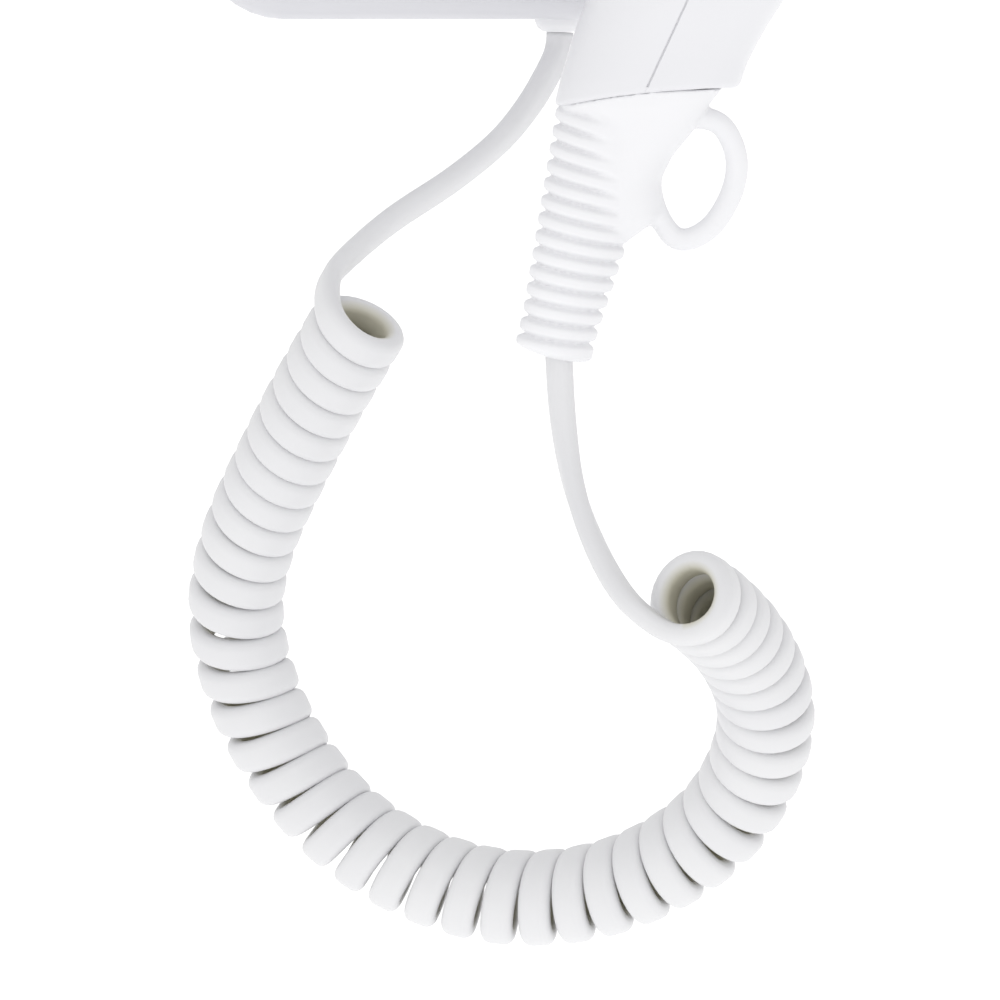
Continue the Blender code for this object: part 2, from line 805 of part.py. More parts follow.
def control_frame(height):
    """A frame on the handle's front face: local X points out, local Z runs up the handle."""
    x0, a0, _ = handle_section(height - 0.004)
    x1, a1, _ = handle_section(height + 0.004)
    x, a, _ = handle_section(height)
    up = Vector(((x1 - a1) - (x0 - a0), 0, 0.008)).normalized()
    out = Vector((-up.z, 0, up.x))
    side = up.cross(out)
    m = Matrix((out, side, up)).transposed().to_4x4()
    return Matrix.Translation((x - a, AXIS_Y, height)) @ m


slider_frame = control_frame(SLIDER_Z)
button_frame = control_frame(BUTTON_Z)
slot_h = SLIDER_H + 2 * SLIDER_TRAVEL + 2 * RUN
slider_slot = box(
    "slider_slot",
    (-0.006, -SLIDER_W / 2 - RUN, -slot_h / 2),
    (0.006, SLIDER_W / 2 + RUN, slot_h / 2),
)
slider_slot.matrix_world = slider_frame
cut(shell, baked(slider_slot))
button_hole = turned(
    "button_hole",
    [(0.0, 0.006), (BUTTON_R + RUN, 0.006), (BUTTON_R + RUN, -0.006), (0.0, -0.006)],
    SMALL_STEPS,
    False,
    button_frame @ Matrix.Rotation(math.radians(90), 4, "Y"),
)
cut(shell, baked(button_hole))

# the seam: two long blocks meet on a leaning plane with a small gap between them
seam_dir = Vector((math.sin(SEAM_LEAN), 0, math.cos(SEAM_LEAN)))
seam_out = Vector((math.cos(SEAM_LEAN), 0, -math.sin(SEAM_LEAN)))
seam_frame = Matrix((seam_out, Vector((0, 1, 0)), seam_dir)).transposed().to_4x4()
seam_frame = Matrix.Translation((SEAM_X, AXIS_Y, SEAM_Z)) @ seam_frame
front_block = box("front_block", (-0.4, -0.1, -0.2), (-GAP / 2, 0.1, 0.4))
front_block.matrix_world = seam_frame
rear_block = box("rear_block", (GAP / 2, -0.1, -0.2), (0.4, 0.1, 0.4))
rear_block.matrix_world = seam_frame
shell = baked(shell)
front_shell = copy_of(shell, "front_shell")
rear_shell = copy_of(shell, "rear_shell")
cutter(shell)
boolean(front_shell, cutter(baked(front_block)), "INTERSECT")
boolean(rear_shell, cutter(baked(rear_block)), "INTERSECT")

# screws through the rear shell into the front shell
rear_screws = []
for number, height in enumerate((-0.070, -0.028), 1):
    x, half_x, half_y = handle_section(height)
    x1, half_x1, _ = handle_section(height + 0.004)
    x0, half_x0, _ = handle_section(height - 0.004)
    slope = Vector(((x1 + half_x1) - (x0 + half_x0), 0, 0.008)).normalized()
    out = Vector((slope.z, 0, -slope.x))
    spot = Vector((x + half_x, AXIS_Y, height))
    hole = turned(
        f"rear_screw_hole_{number}",
        [
            (0.0, 0.004),
            (0.0030, 0.004),
            (0.0030, -0.0008),
            (0.0016, -0.0008),
            (0.0016, -0.006),
            (0.0, -0.006),
        ],
        SMALL_STEPS,
        False,
        along(spot, out),
    )
    cut(rear_shell, baked(hole))
    profile = [
        (0.0, 0.0003),
        (0.0018, 0.0),
        (0.0026, -0.0004),
        (0.0013, -0.0005),
        (0.0013, -0.0100),
        (0.0, -0.0100),
    ]
    screw = baked(turned(f"shell_screw_{number}", profile, 16, False, along(spot, out)))
    part(screw, STEEL, 0.3, 1.0)
part(front_shell, WHITE, 0.3)
part(rear_shell, WHITE, 0.3)

# ======== outlet and inlet ==============================================================================
x_turn = Matrix.Rotation(math.radians(90), 4, "Y")


def disc_grille(name, radius, thickness, x, rings, spokes, bar, hub):
    """A flat grille of rings and spokes, from one outline with arc-shaped openings."""
    outlines = [circle(radius, 40)]
    edges = [hub + (radius - bar - hub) * k / rings for k in range(rings + 1)]
    for r0, r1 in zip(edges, edges[1:]):
        low = r0 + bar / 2
        high = r1 - bar / 2
        for s in range(spokes):
            span = 2 * math.pi / spokes
            d0 = bar / 2 / low
            d1 = bar / 2 / high
            a0 = s * span
            arc = []
            for i in range(3):
                a = a0 + d1 + (span - 2 * d1) * i / 2
                arc.append((high * math.cos(a), high * math.sin(a)))
            for i in range(3):
                a = a0 + span - d0 - (span - 2 * d0) * i / 2
                arc.append((low * math.cos(a), low * math.sin(a)))
            outlines.append(arc)
    return slab(name, outlines, thickness, Matrix.Translation((x, AXIS_Y, AXIS_Z)) @ x_turn)


outlet_r = NOSE_R - WALL - GAP
outlet_grille = disc_grille("outlet_grille", outlet_r, 0.0018, NOSE_X + 0.004, 2, 8, 0.0014, 0.004)
part(outlet_grille, GREY, 0.5)

cap_x0 = BARREL_TAIL_X + GAP
cap_x1 = cap_x0 + CAP_LEN
spigot_r = TAIL_R - WALL - RUN
inlet_cap = turned(
    "inlet_cap",
    [
        (TAIL_R - 0.0042, cap_x1),
        (TAIL_R - 0.0018, cap_x1 - 0.0012),
        (TAIL_R - 0.0004, cap_x1 - 0.0030),
        (TAIL_R, cap_x0),
        (spigot_r, cap_x0),
        (spigot_r, cap_x0 - 0.004),
        (spigot_r - 0.0016, cap_x0 - 0.004),
        (spigot_r - 0.0016, cap_x1 - 0.0026),
        (TAIL_R - 0.0064, cap_x1 - 0.0022),
        (TAIL_R - 0.0064, cap_x1),
    ],
    TURN_STEPS,
    True,
    along_x(),
)
part(baked(inlet_cap), WHITE, 0.3)
grille_r = spigot_r - 0.0016 - GAP
grille_x = cap_x1 - 0.0026 - GAP - 0.0007
inlet_grille = disc_grille("inlet_grille", grille_r, 0.0014, grille_x, 3, 8, 0.0016, 0.005)
part(inlet_grille, GREY, 0.5)
filter_mesh = slab(
    "filter_mesh",
    [circle(grille_r, 40)],
    0.0006,
    Matrix.Translation((cap_x1 - 0.0026 - 2 * GAP - 0.0014 - 0.0003 - 0.0004, AXIS_Y, AXIS_Z)) @ x_turn,
)
part(filter_mesh, DARK, 0.7)

# ======== fan and motor =================================================================================
fan_axis = Vector(((FAN_X0 + FAN_X1) / 2, AXIS_Y, AXIS_Z))
fan = baked(
    turned(
        "fan",
        [
            (0.0, FAN_X1 + 0.0015),
            (FAN_HUB_R * 0.6, FAN_X1 + 0.0010),
            (FAN_HUB_R, FAN_X1 - 0.0015),
            (FAN_HUB_R, FAN_X0),
            (SHAFT_R + GAP, FAN_X0),
            (SHAFT_R + GAP, FAN_X1 - 0.002),
            (0.0, FAN_X1 - 0.002),
        ],
        36,
        False,
        along_x(),
    )
)
blades = bmesh.new()
for k in range(FAN_BLADES):
    made = bmesh.ops.create_cube(blades, size=1.0)
    for v in made["verts"]:
        v.co = Vector(
            (
                v.co.x * (FAN_X1 - FAN_X0) * 1.15,
                v.co.y * BLADE_T,
                (v.co.z + 0.5) * (FAN_TIP_R - FAN_HUB_R + 0.001) + FAN_HUB_R - 0.001,
            )
        )
    twist = Matrix.Rotation(math.radians(38), 4, "Z")
    spin = Matrix.Rotation(2 * math.pi * k / FAN_BLADES, 4, "X")
    place = Matrix.Translation(fan_axis)
    bmesh.ops.transform(blades, matrix=place @ spin @ twist, verts=made["verts"])
blade_set = from_bmesh("fan_blades", blades)
join(fan, blade_set)
fan = baked(fan)
fan.data.transform(Matrix.Translation(-fan_axis))
fan.location = fan_axis
part(fan, GREY, 0.5)

shaft = turned(
    "motor_shaft",
    [
        (0.0, FAN_X1 - 0.002 - GAP),
        (SHAFT_R, FAN_X1 - 0.002 - GAP),
        (SHAFT_R, MOTOR_X1 + GAP),
        (0.0, MOTOR_X1 + GAP),
    ],
    12,
    False,
    along_x(),
)
shaft = baked(shaft)
part(shaft, STEEL, 0.2, 1.0)

motor = turned(
    "motor_can",
    [
        (0.0, MOTOR_X1),
        (MOTOR_R * 0.45, MOTOR_X1),
        (MOTOR_R * 0.45, MOTOR_X1 - 0.0015),
        (MOTOR_R - 0.0015, MOTOR_X1 - 0.0015),
        (MOTOR_R, MOTOR_X1 - 0.003),
        (MOTOR_R, MOTOR_X0 + 0.004),
        (0.0, MOTOR_X0 + 0.004),
    ],
    36,
    False,
    along_x(),
)
part(baked(motor), STEEL, 0.3, 1.0)
motor_cap = turned(
    "motor_end_cap",
    [
        (0.0, MOTOR_X0 + 0.004 - GAP),
        (MOTOR_R, MOTOR_X0 + 0.004 - GAP),
        (MOTOR_R, MOTOR_X0 + 0.001),
        (MOTOR_R - 0.001, MOTOR_X0),
        (0.004, MOTOR_X0),
        (0.003, MOTOR_X0 - 0.002),
        (0.0, MOTOR_X0 - 0.002),
    ],
    36,
    False,
    along_x(),
)
part(baked(motor_cap), DARK, 0.4)

mount_out = min(barrel_radius(MOUNT_X0), barrel_radius(MOUNT_X1)) - WALL - GAP
mount = baked(turned("motor_mount", tube_profile(MOUNT_X0, MOUNT_X1, mount_out - 0.0018, mount_out), TURN_STEPS, True, along_x()))
inner_ring = baked(
    turned("mount_ring", tube_profile(MOUNT_X0, MOUNT_X1, MOTOR_R + GAP, MOTOR_R + 0.002), 36, True, along_x())
)
vanes = bmesh.new()
for k in range(VANES):
    made = bmesh.ops.create_cube(vanes, size=1.0)
    low = MOTOR_R + 0.001
    high = mount_out - 0.0009
    for v in made["verts"]:
        v.co = Vector(
            (v.co.x * (MOUNT_X1 - MOUNT_X0 - 0.002), v.co.y * 0.0014, (v.co.z + 0.5) * (high - low) + low)
        )
    spin = Matrix.Rotation(2 * math.pi * k / VANES, 4, "X")
    place = Matrix.Translation(((MOUNT_X0 + MOUNT_X1) / 2, AXIS_Y, AXIS_Z))
    bmesh.ops.transform(vanes, matrix=place @ spin, verts=made["verts"])
join(mount, inner_ring, from_bmesh("mount_vanes", vanes))
part(mount, SOFT_WHITE, 0.5)

# ======== heater ========================================================================================
mica_len = HEATER_X1 - HEATER_X0
mica_mid = (HEATER_X0 + HEATER_X1) / 2
slot_half = MICA_T / 2 + GAP


def mica_outline(slot_side):
    h = MICA_HALF
    half = mica_len / 2
    if slot_side > 0:
        return [
            (-half, -h),
            (half, -h),
            (half, -slot_half),
            (-GAP, -slot_half),
            (-GAP, slot_half),
            (half, slot_half),
            (half, h),
            (-half, h),
        ]
    return [
        (-half, -h),
        (half, -h),
        (half, h),
        (-half, h),
        (-half, slot_half),
        (GAP, slot_half),
        (GAP, -slot_half),
        (-half, -slot_half),
    ]


mica_a = slab("mica_sheet_a", [mica_outline(1)], MICA_T, upright(mica_mid, AXIS_Y, AXIS_Z))
part(mica_a, MICA, 0.5)
mica_b = slab("mica_sheet_b", [mica_outline(-1)], MICA_T, Matrix.Translation((mica_mid, AXIS_Y, AXIS_Z)))
part(mica_b, MICA, 0.5)


def heater_wire(name, x0, x1, turns):
    points = []
    per_turn = 12
    count = turns * per_turn
    for i in range(count + 1):
        a = 2 * math.pi * i / per_turn
        x = x0 + (x1 - x0) * i / count
        points.append((x, AXIS_Y + WIRE_COIL_R * math.cos(a), AXIS_Z + WIRE_COIL_R * math.sin(a)))
    wire = tube(name, points, WIRE_R, 1)
    return part(baked(wire), STEEL, 0.35, 1.0)


heater_wire("heater_wire_front", HEATER_X0 + 0.006, mica_mid - 0.005, 3)
heater_wire("heater_wire_rear", mica_mid + 0.005, HEATER_X1 - 0.006, 3)
shield = turned(
    "heat_shield",
    tube_profile(HEATER_X0 - 0.004, HEATER_X1 + 0.002, SHIELD_R, SHIELD_R + SHIELD_T),
    TURN_STEPS,
    True,
    along_x(),
)
part(baked(shield), MICA, 0.6)
thermostat = turned(
    "thermostat",
    [
        (0.0, HEATER_X1 + 0.0045),
        (0.004, HEATER_X1 + 0.0045),
        (0.0052, HEATER_X1 + 0.0035),
        (0.0052, HEATER_X1 + GAP),
        (0.0, HEATER_X1 + GAP),
    ],
    SMALL_STEPS,
    False,
    along_x(),
)
part(baked(thermostat), STEEL, 0.3, 1.0)
fuse = turned(
    "thermal_fuse",
    [(0.0, 0.006), (0.0012, 0.006), (0.0018, 0.0045), (0.0018, -0.0045), (0.0012, -0.006), (0.0, -0.006)],
    12,
    False,
    along_x(mica_mid - 0.014, AXIS_Y + MICA_T / 2 + GAP + 0.0018, AXIS_Z + 0.009),
)
part(baked(fuse), BRASS, 0.4)

# ======== controls ======================================================================================
slider = box(
    "power_slider",
    (-WALL - 0.0006, -SLIDER_W / 2, -SLIDER_H / 2),
    (SLIDER_PROUD, SLIDER_W / 2, SLIDER_H / 2),
)
soft = slider.modifiers.new("edge", "BEVEL")
soft.width = 0.0006
soft.segments = 2
slider_skirt = box(
    "slider_skirt",
    (-WALL - SKIRT_DEPTH - 0.0012, -SLIDER_W / 2 - 0.0012, -SLIDER_H / 2 - 0.0012),
    (-WALL - SKIRT_DEPTH, SLIDER_W / 2 + 0.0012, SLIDER_H / 2 + 0.0012),
)
slider = baked(slider)
slider_skirt = baked(slider_skirt)
slider_core = box(
    "slider_core",
    (-WALL - SKIRT_DEPTH - 0.0006, -SLIDER_W / 2 + 0.001, -SLIDER_H / 2 + 0.001),
    (0.0, SLIDER_W / 2 - 0.001, SLIDER_H / 2 - 0.001),
)
join(slider, slider_core, slider_skirt)
slider = baked(slider)
slider.matrix_world = slider_frame @ Matrix.Translation((0, 0, -SLIDER_TRAVEL))
part(slider, GREY, 0.45)
button = turned(
    "cool_button",
    [
        (0.0, BUTTON_PROUD + 0.0004),
        (BUTTON_R * 0.6, BUTTON_PROUD + 0.0003),
        (BUTTON_R - 0.0004, BUTTON_PROUD - 0.0003),
        (BUTTON_R, BUTTON_PROUD - 0.001),
        (BUTTON_R, -WALL - 0.0024),
        (0.0, -WALL - 0.0024),
    ],
    SMALL_STEPS,
    False,
    button_frame @ Matrix.Rotation(math.radians(90), 4, "Y"),
)
part(button, GREY, 0.45)
switch_block = box(
    "slide_switch_body", (-0.0135, -0.005, -0.009), (-WALL - SKIRT_DEPTH - 0.0012 - RUN, 0.005, 0.009)
)
switch_block.matrix_world = slider_frame
part(switch_block, DARK, 0.5)
tact_block = box("push_switch_body", (-0.0125, -0.004, -0.006), (-WALL - 0.0046, 0.004, 0.006))
tact_block.matrix_world = button_frame
part(tact_block, DARK, 0.5)

# ======== boot, loop and clamp ==========================================================================
boot_len = (BOOT_TIP - BOOT_TOP).length
profile = [(0.0, 0.0), (BOOT_TOP_R, 0.0)]
pitch = (boot_len - 0.006) / BOOT_RIBS
for k in range(BOOT_RIBS):
    s = 0.004 + k * pitch
    share = s / boot_len
    r = BOOT_TOP_R + (BOOT_TIP_R - BOOT_TOP_R) * share
    profile += [
        (r - RIB_DEPTH, -s),
        (r - RIB_DEPTH, -(s + 0.35 * pitch)),
        (r, -(s + 0.6 * pitch)),
    ]
profile += [(BOOT_TIP_R - 0.0002, -(boot_len - 0.0008)), (BOOT_TIP_R - 0.0014, -boot_len), (0.0, -boot_len)]
boot = baked(turned("cord_boot", profile, 14, False, along(BOOT_TOP, -boot_axis)))
# flared head under the handle, with its collar inside the handle's floor
head_rings = []
head_rows = 4
rim_z = handle_bottom - GAP - 0.0001
hx, ha, hb = handle_section(handle_bottom)
for k in range(head_rows):
    t = k / (head_rows - 1)
    ease = t * t * (3 - 2 * t)
    middle = Vector((hx, AXIS_Y, rim_z)).lerp(BOOT_TOP + boot_axis * 0.0036, t)
    half_x = (ha - 0.0012) * (1 - ease) + (BOOT_TOP_R + HEAD_PROUD) * ease
    half_y = (hb - 0.0012) * (1 - ease) + (BOOT_TOP_R + HEAD_PROUD) * ease
    ring = []
    for dx, dy in squircle(half_x, half_y, HANDLE_SIDES, 2.2):
        ring.append((middle.x + dx, middle.y + dy, middle.z + dx * HANDLE_TILT * (1 - t)))
    head_rings.append(ring)
head = loft("boot_head", head_rings)
collar = baked(
    turned(
        "boot_collar",
        [
            (0.0, WALL + 0.0035),
            (collar_r + 0.0020, WALL + 0.0035),
            (collar_r + 0.0020, WALL + 0.0016),
            (collar_r - 0.0002, WALL + 0.0016),
            (collar_r - 0.0002, -0.004),
            (0.0, -0.004),
        ],
        SMALL_STEPS,
        False,
        Matrix.Translation((collar_x, AXIS_Y, handle_bottom)),
    )
)
loop_points = []
for i in range(24):
    a = 2 * math.pi * i / 24
    dx = LOOP_HALF_W * math.cos(a)
    dz = LOOP_HALF_H * math.sin(a)
    x = dx * math.cos(LOOP_LEAN) + dz * math.sin(LOOP_LEAN)
    z = -dx * math.sin(LOOP_LEAN) + dz * math.cos(LOOP_LEAN)
    loop_points.append(LOOP_MID + Vector((x, 0, z)))
loop = baked(tube("boot_loop", loop_points, LOOP_BAND_R, 2, cyclic=True))
join(boot, head, collar, loop)
boot = baked(boot)
part(boot, SOFT_WHITE, 0.5)

clamp_z = handle_bottom + 0.016
clamp = box("cord_clamp", (0.0215, AXIS_Y - 0.008, clamp_z), (0.0325, AXIS_Y + 0.008, clamp_z + 0.004))
soft = clamp.modifiers.new("edge", "BEVEL")
soft.width = 0.0008
soft.segments = 2
part(clamp, DARK, 0.6)
for number, side in enumerate((-1, 1), 1):
    profile = [
        (0.0, 0.0016),
        (0.0019, 0.0014),
        (0.0019, GAP),
        (0.0, GAP),
    ]
    screw = turned(
        f"clamp_screw_{number}",
        profile,
        12,
        False,
        Matrix.Translation((0.027, AXIS_Y + side * 0.0056, clamp_z + 0.004)),
    )
    part(baked(screw), STEEL, 0.3, 1.0)

# ======== cord ==========================================================================================
coil = tube("cord_coil", smooth_route(COIL_ROUTE, 48), COIL_R, 3)
part(coil, WHITE, 0.35)
lead_base = tube("cord_lead_base", smooth_route(LEAD_BASE_ROUTE, 20), LEAD_R, 2)
part(lead_base, WHITE, 0.35)
lead_handset = tube("cord_lead_handset", smooth_route(LEAD_HANDSET_ROUTE, 18), LEAD_R, 2)
part(lead_handset, WHITE, 0.35)
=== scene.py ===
"""Looks of the wall-mounted hair dryer: cord, boot, handset shells, materials, light and camera."""

import math

import bmesh
import bpy
from mathutils import Matrix, Vector


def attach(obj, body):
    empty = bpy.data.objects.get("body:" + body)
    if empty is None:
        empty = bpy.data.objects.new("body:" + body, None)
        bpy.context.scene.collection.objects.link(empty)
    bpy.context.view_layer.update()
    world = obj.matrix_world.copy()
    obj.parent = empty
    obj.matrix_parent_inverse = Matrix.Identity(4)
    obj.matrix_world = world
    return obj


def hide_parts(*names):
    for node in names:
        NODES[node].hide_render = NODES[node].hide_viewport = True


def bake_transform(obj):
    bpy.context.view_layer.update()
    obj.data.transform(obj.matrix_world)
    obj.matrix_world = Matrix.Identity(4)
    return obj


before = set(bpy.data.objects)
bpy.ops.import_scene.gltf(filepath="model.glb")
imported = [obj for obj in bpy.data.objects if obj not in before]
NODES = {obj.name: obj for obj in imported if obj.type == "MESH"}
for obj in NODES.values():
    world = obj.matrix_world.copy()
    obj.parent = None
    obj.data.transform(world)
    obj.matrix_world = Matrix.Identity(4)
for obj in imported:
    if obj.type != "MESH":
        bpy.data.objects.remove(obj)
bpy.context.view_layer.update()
SCENE = bpy.context.scene

# ======== camera ========================================================================================
camera_data = bpy.data.cameras.new("camera")
camera_data.lens = 299.5
camera_data.sensor_width = 36.0
camera_data.clip_start = 0.05
camera_data.clip_end = 50.0
camera = bpy.data.objects.new("camera", camera_data)
SCENE.collection.objects.link(camera)
LOOK_AT = Vector((-0.0013455, -0.0500, -0.175094))
EYE_DISTANCE = 1.6
EYE_RISE = math.radians(8)
camera.location = LOOK_AT + EYE_DISTANCE * Vector((0, -math.cos(EYE_RISE), math.sin(EYE_RISE)))
camera.rotation_euler = (math.radians(90) - EYE_RISE, 0, 0)
SCENE.camera = camera

# ======== shared sizes, metres ==========================================================================
AXIS_Y = -0.076
AXIS_Z = 0.030
GAP = 0.0003
RUN = 0.0006
WALL = 0.0022
BASE_H = 0.168
GLAND = Vector((0.0103, -0.020, -BASE_H / 2))
GLAND_DROP = 0.0032


def mesh_object(name, points, faces, smooth=True):
    mesh = bpy.data.meshes.new(name)
    mesh.from_pydata([tuple(p) for p in points], [], faces)
    mesh.validate()
    if smooth:
        mesh.shade_smooth()
    obj = bpy.data.objects.new(name, mesh)
    SCENE.collection.objects.link(obj)
    return obj


def outward(obj):
    """Faces turned to look out of a closed solid."""
    bm = bmesh.new()
    bm.from_mesh(obj.data)
    bmesh.ops.recalc_face_normals(bm, faces=bm.faces)
    bm.to_mesh(obj.data)
    bm.free()
    return obj


def between(p0, p1, p2, p3, t):
    """The Catmull-Rom cubic from p1 to p2, for numbers or vectors."""
    a = 2 * p1
    b = p2 - p0
    c = 2 * p0 - 5 * p1 + 4 * p2 - p3
    d = 3 * p1 - p0 - 3 * p2 + p3
    return (a + b * t + c * t * t + d * t * t * t) / 2


def catmull(points, per_span):
    """A fine line through the points."""
    p = [Vector(q) for q in points]
    p = [2 * p[0] - p[1]] + p + [2 * p[-1] - p[-2]]
    out = []
    for i in range(1, len(p) - 2):
        for k in range(per_span):
            out.append(between(p[i - 1], p[i], p[i + 1], p[i + 2], k / per_span))
    out.append(p[-2])
    return out


def run_lengths(points):
    run = [0.0]
    for a, b in zip(points, points[1:]):
        run.append(run[-1] + (b - a).length)
    return run


def resample(points, count):
    run = run_lengths(points)
    out = []
    j = 0
    for i in range(count):
        want = run[-1] * i / (count - 1)
        while j < len(run) - 2 and run[j + 1] < want:
            j += 1
        t = (want - run[j]) / max(run[j + 1] - run[j], 1e-9)
        out.append(points[j].lerp(points[j + 1], t))
    return out


def ease(t):
    t = min(max(t, 0.0), 1.0)
    return t * t * (3 - 2 * t)


def tangents(points):
    out = []
    for i in range(len(points)):
        a = points[max(i - 1, 0)]
        b = points[min(i + 1, len(points) - 1)]
        out.append((b - a).normalized())
    return out


# ======== cord ==========================================================================================
COIL_ROUTE = (
    (-0.0290, -0.0520, -0.1420),
    (-0.0370, -0.0435, -0.1565),
    (-0.0441, -0.0350, -0.1710),
    (-0.0504, -0.0270, -0.1855),
    (-0.0534, -0.0205, -0.2000),
    (-0.0516, -0.0170, -0.2130),
    (-0.0471, -0.0165, -0.2250),
    (-0.0397, -0.0175, -0.2365),
    (-0.0300, -0.0205, -0.2460),
    (-0.0170, -0.0250, -0.2530),
    (-0.0015, -0.0300, -0.2565),
    (0.0145, -0.0350, -0.2550),
    (0.0290, -0.0405, -0.2490),
    (0.0410, -0.0465, -0.2390),
    (0.0480, -0.0540, -0.2260),
    (0.0495, -0.0650, -0.2120),
    (0.0440, -0.0800, -0.1980),
    (0.0345, -0.0990, -0.1865),
)
LEAD_BASE_ROUTE = (
    (GLAND.x, GLAND.y, GLAND.z - GLAND_DROP - GAP),
    (GLAND.x, GLAND.y, -0.0900),
    (0.0097, -0.0208, -0.0921),
    (0.0077, -0.0226, -0.0957),
    (0.0047, -0.0253, -0.1006),
    (-0.0012, -0.0293, -0.1076),
    (-0.0106, -0.0340, -0.1149),
    (-0.0222, -0.0392, -0.1221),
    (-0.0307, -0.0450, -0.1288),
    (-0.0341, -0.0492, -0.1324),
)
LEAD_HANDSET_ROUTE = (
    (0.0097, -0.0779, -0.1425),
    (0.0102, -0.0790, -0.1520),
    (0.0110, -0.0808, -0.1594),
    (0.0123, -0.0836, -0.1667),
    (0.0145, -0.0874, -0.1736),
    (0.0177, -0.0922, -0.1805),
    (0.0207, -0.0963, -0.1852),
    (0.0237, -0.0992, -0.1885),
)
CORD_W = 0.0065
CORD_T = 0.0039
TURN_R = 0.00745  # to the middle of the cord
TURNS = 41
HALF_TURN = 0.0032  # the first and last turns stand this far beyond the coil's route
TURN_START = Vector((-0.0062, -0.0014, 0.0024))  # from the coil's axis to its first point
TURN_END = Vector((-0.0042, -0.0014, -0.0051))
PER_TURN = 32
AXIS_POINTS = 600
AXIS_CALM = 160  # rounds of smoothing along the coil's axis
BEND_SHARE = 0.0080  # how far the turns crowd on a bend, per curvature
LAST_TURN_DROP = Vector((0, 0, -0.0012))
LEAD_POINT_STEP = 0.0008
LEAD_CALM = 12
JOIN_SKIP = 3  # points of the coil that a lead's end takes over
JOIN_CALM = 8
JOIN_REACH = 10  # points each side of a join that are eased
LEAD_A_WIDE = Vector((0.55, 0.83, 0))  # which way the leads' wide side faces at their free ends
LEAD_B_WIDE = Vector((0.50, -0.86, 0))


def coil_path():
    """Points along the flat cord's own middle line through all its turns, with the coil's axis at each."""
    route = [Vector(p) for p in COIL_ROUTE]
    before = (route[0] - route[1]).normalized() * HALF_TURN
    after = (route[-1] - route[-2]).normalized() * HALF_TURN + LAST_TURN_DROP
    axis = resample(catmull([route[0] + before] + route + [route[-1] + after], 24), AXIS_POINTS)
    for _ in range(AXIS_CALM):
        axis[1:-1] = [(a + 2 * b + c) / 4 for a, b, c in zip(axis, axis[1:], axis[2:])]
    run = run_lengths(axis)
    t = tangents(axis)
    # a frame carried along the axis without twist
    u = (TURN_START - TURN_START.dot(t[0]) * t[0]).normalized()
    frames = []
    for i in range(len(axis)):
        u = (u - u.dot(t[i]) * t[i]).normalized()
        frames.append((u.copy(), t[i].cross(u)))
    # the turns close up where the coil is straight and open on the outside of its bend
    share = [0.0]
    for i in range(1, len(axis)):
        bend = (t[i] - t[i - 1]).length / (run[i] - run[i - 1])
        share.append(share[-1] + (run[i] - run[i - 1]) * (1 - BEND_SHARE * bend))
    end_u, end_v = frames[-1]
    want = math.atan2(TURN_END.dot(end_v), TURN_END.dot(end_u))
    total = 2 * math.pi * TURNS
    total += (-want - total) % (2 * math.pi)
    if total > 2 * math.pi * (TURNS + 0.5):
        total -= 2 * math.pi
    count = int(PER_TURN * total / (2 * math.pi))
    points = []
    along = []
    j = 0
    for i in range(count + 1):
        need = share[-1] * i / count
        while j < len(share) - 2 and share[j + 1] < need:
            j += 1
        f = (need - share[j]) / (share[j + 1] - share[j])
        angle = -total * i / count
        middle = axis[j].lerp(axis[j + 1], f)
        tu = frames[j][0].lerp(frames[j + 1][0], f)
        tv = frames[j][1].lerp(frames[j + 1][1], f)
        points.append(middle + TURN_R * (math.cos(angle) * tu + math.sin(angle) * tv))
        along.append(t[j].lerp(t[j + 1], f).normalized())
    return points, along


def join_lead(lead, turns):
    """A lead's evenly spaced points up to the coil, eased where it meets the first turn."""
    line = catmull(lead + turns[:8], 10)[: 10 * (len(lead) + 1) + 1]
    line = resample(line, int(run_lengths(line)[-1] / LEAD_POINT_STEP))
    for _ in range(LEAD_CALM):
        calm = [(a + 2 * b + c) / 4 for a, b, c in zip(line, line[1:], line[2:])]
        line = line[:1] + calm + line[-1:]
    return line[:-1]


def cord_rows():
    """The whole cord: its middle line, its wide direction and how far a point is inside the coil, which
    places the painted shade.
    """
    coil, coil_axis = coil_path()
    lead_a = [Vector(p) for p in LEAD_BASE_ROUTE]
    lead_b = [Vector(p) for p in LEAD_HANDSET_ROUTE]
    first = join_lead(lead_a, coil[::JOIN_SKIP])
    last = join_lead(lead_b, coil[::-JOIN_SKIP])
    a0 = len(first)
    b0 = len(last)
    kept = slice(JOIN_SKIP, len(coil) - JOIN_SKIP)
    middle = coil[kept]
    line = first + middle + last[::-1]
    for _ in range(JOIN_CALM):
        for join in (a0, len(line) - b0 - 1):
            for i in range(join - JOIN_REACH + 1, join + JOIN_REACH):
                calm = (line[i - 1] + line[i + 1]) / 2
                line[i] = line[i].lerp(calm, 0.5 * (1 - abs(i - join) / JOIN_REACH) ** 2)
    # each lead turns its wide side to the coil's before it gets there
    turned = 12
    wide = []
    for i in range(a0):
        wide.append(LEAD_A_WIDE.lerp(coil_axis[0], ease(i / (a0 - turned))))
    wide += coil_axis[kept]
    for i in range(b0):
        wide.append(LEAD_B_WIDE.lerp(coil_axis[-1], ease((b0 - 1 - i) / (b0 - turned))))
    inner = [0.0] * a0 + [1.0] * len(middle) + [0.0] * b0
    return line, wide, inner


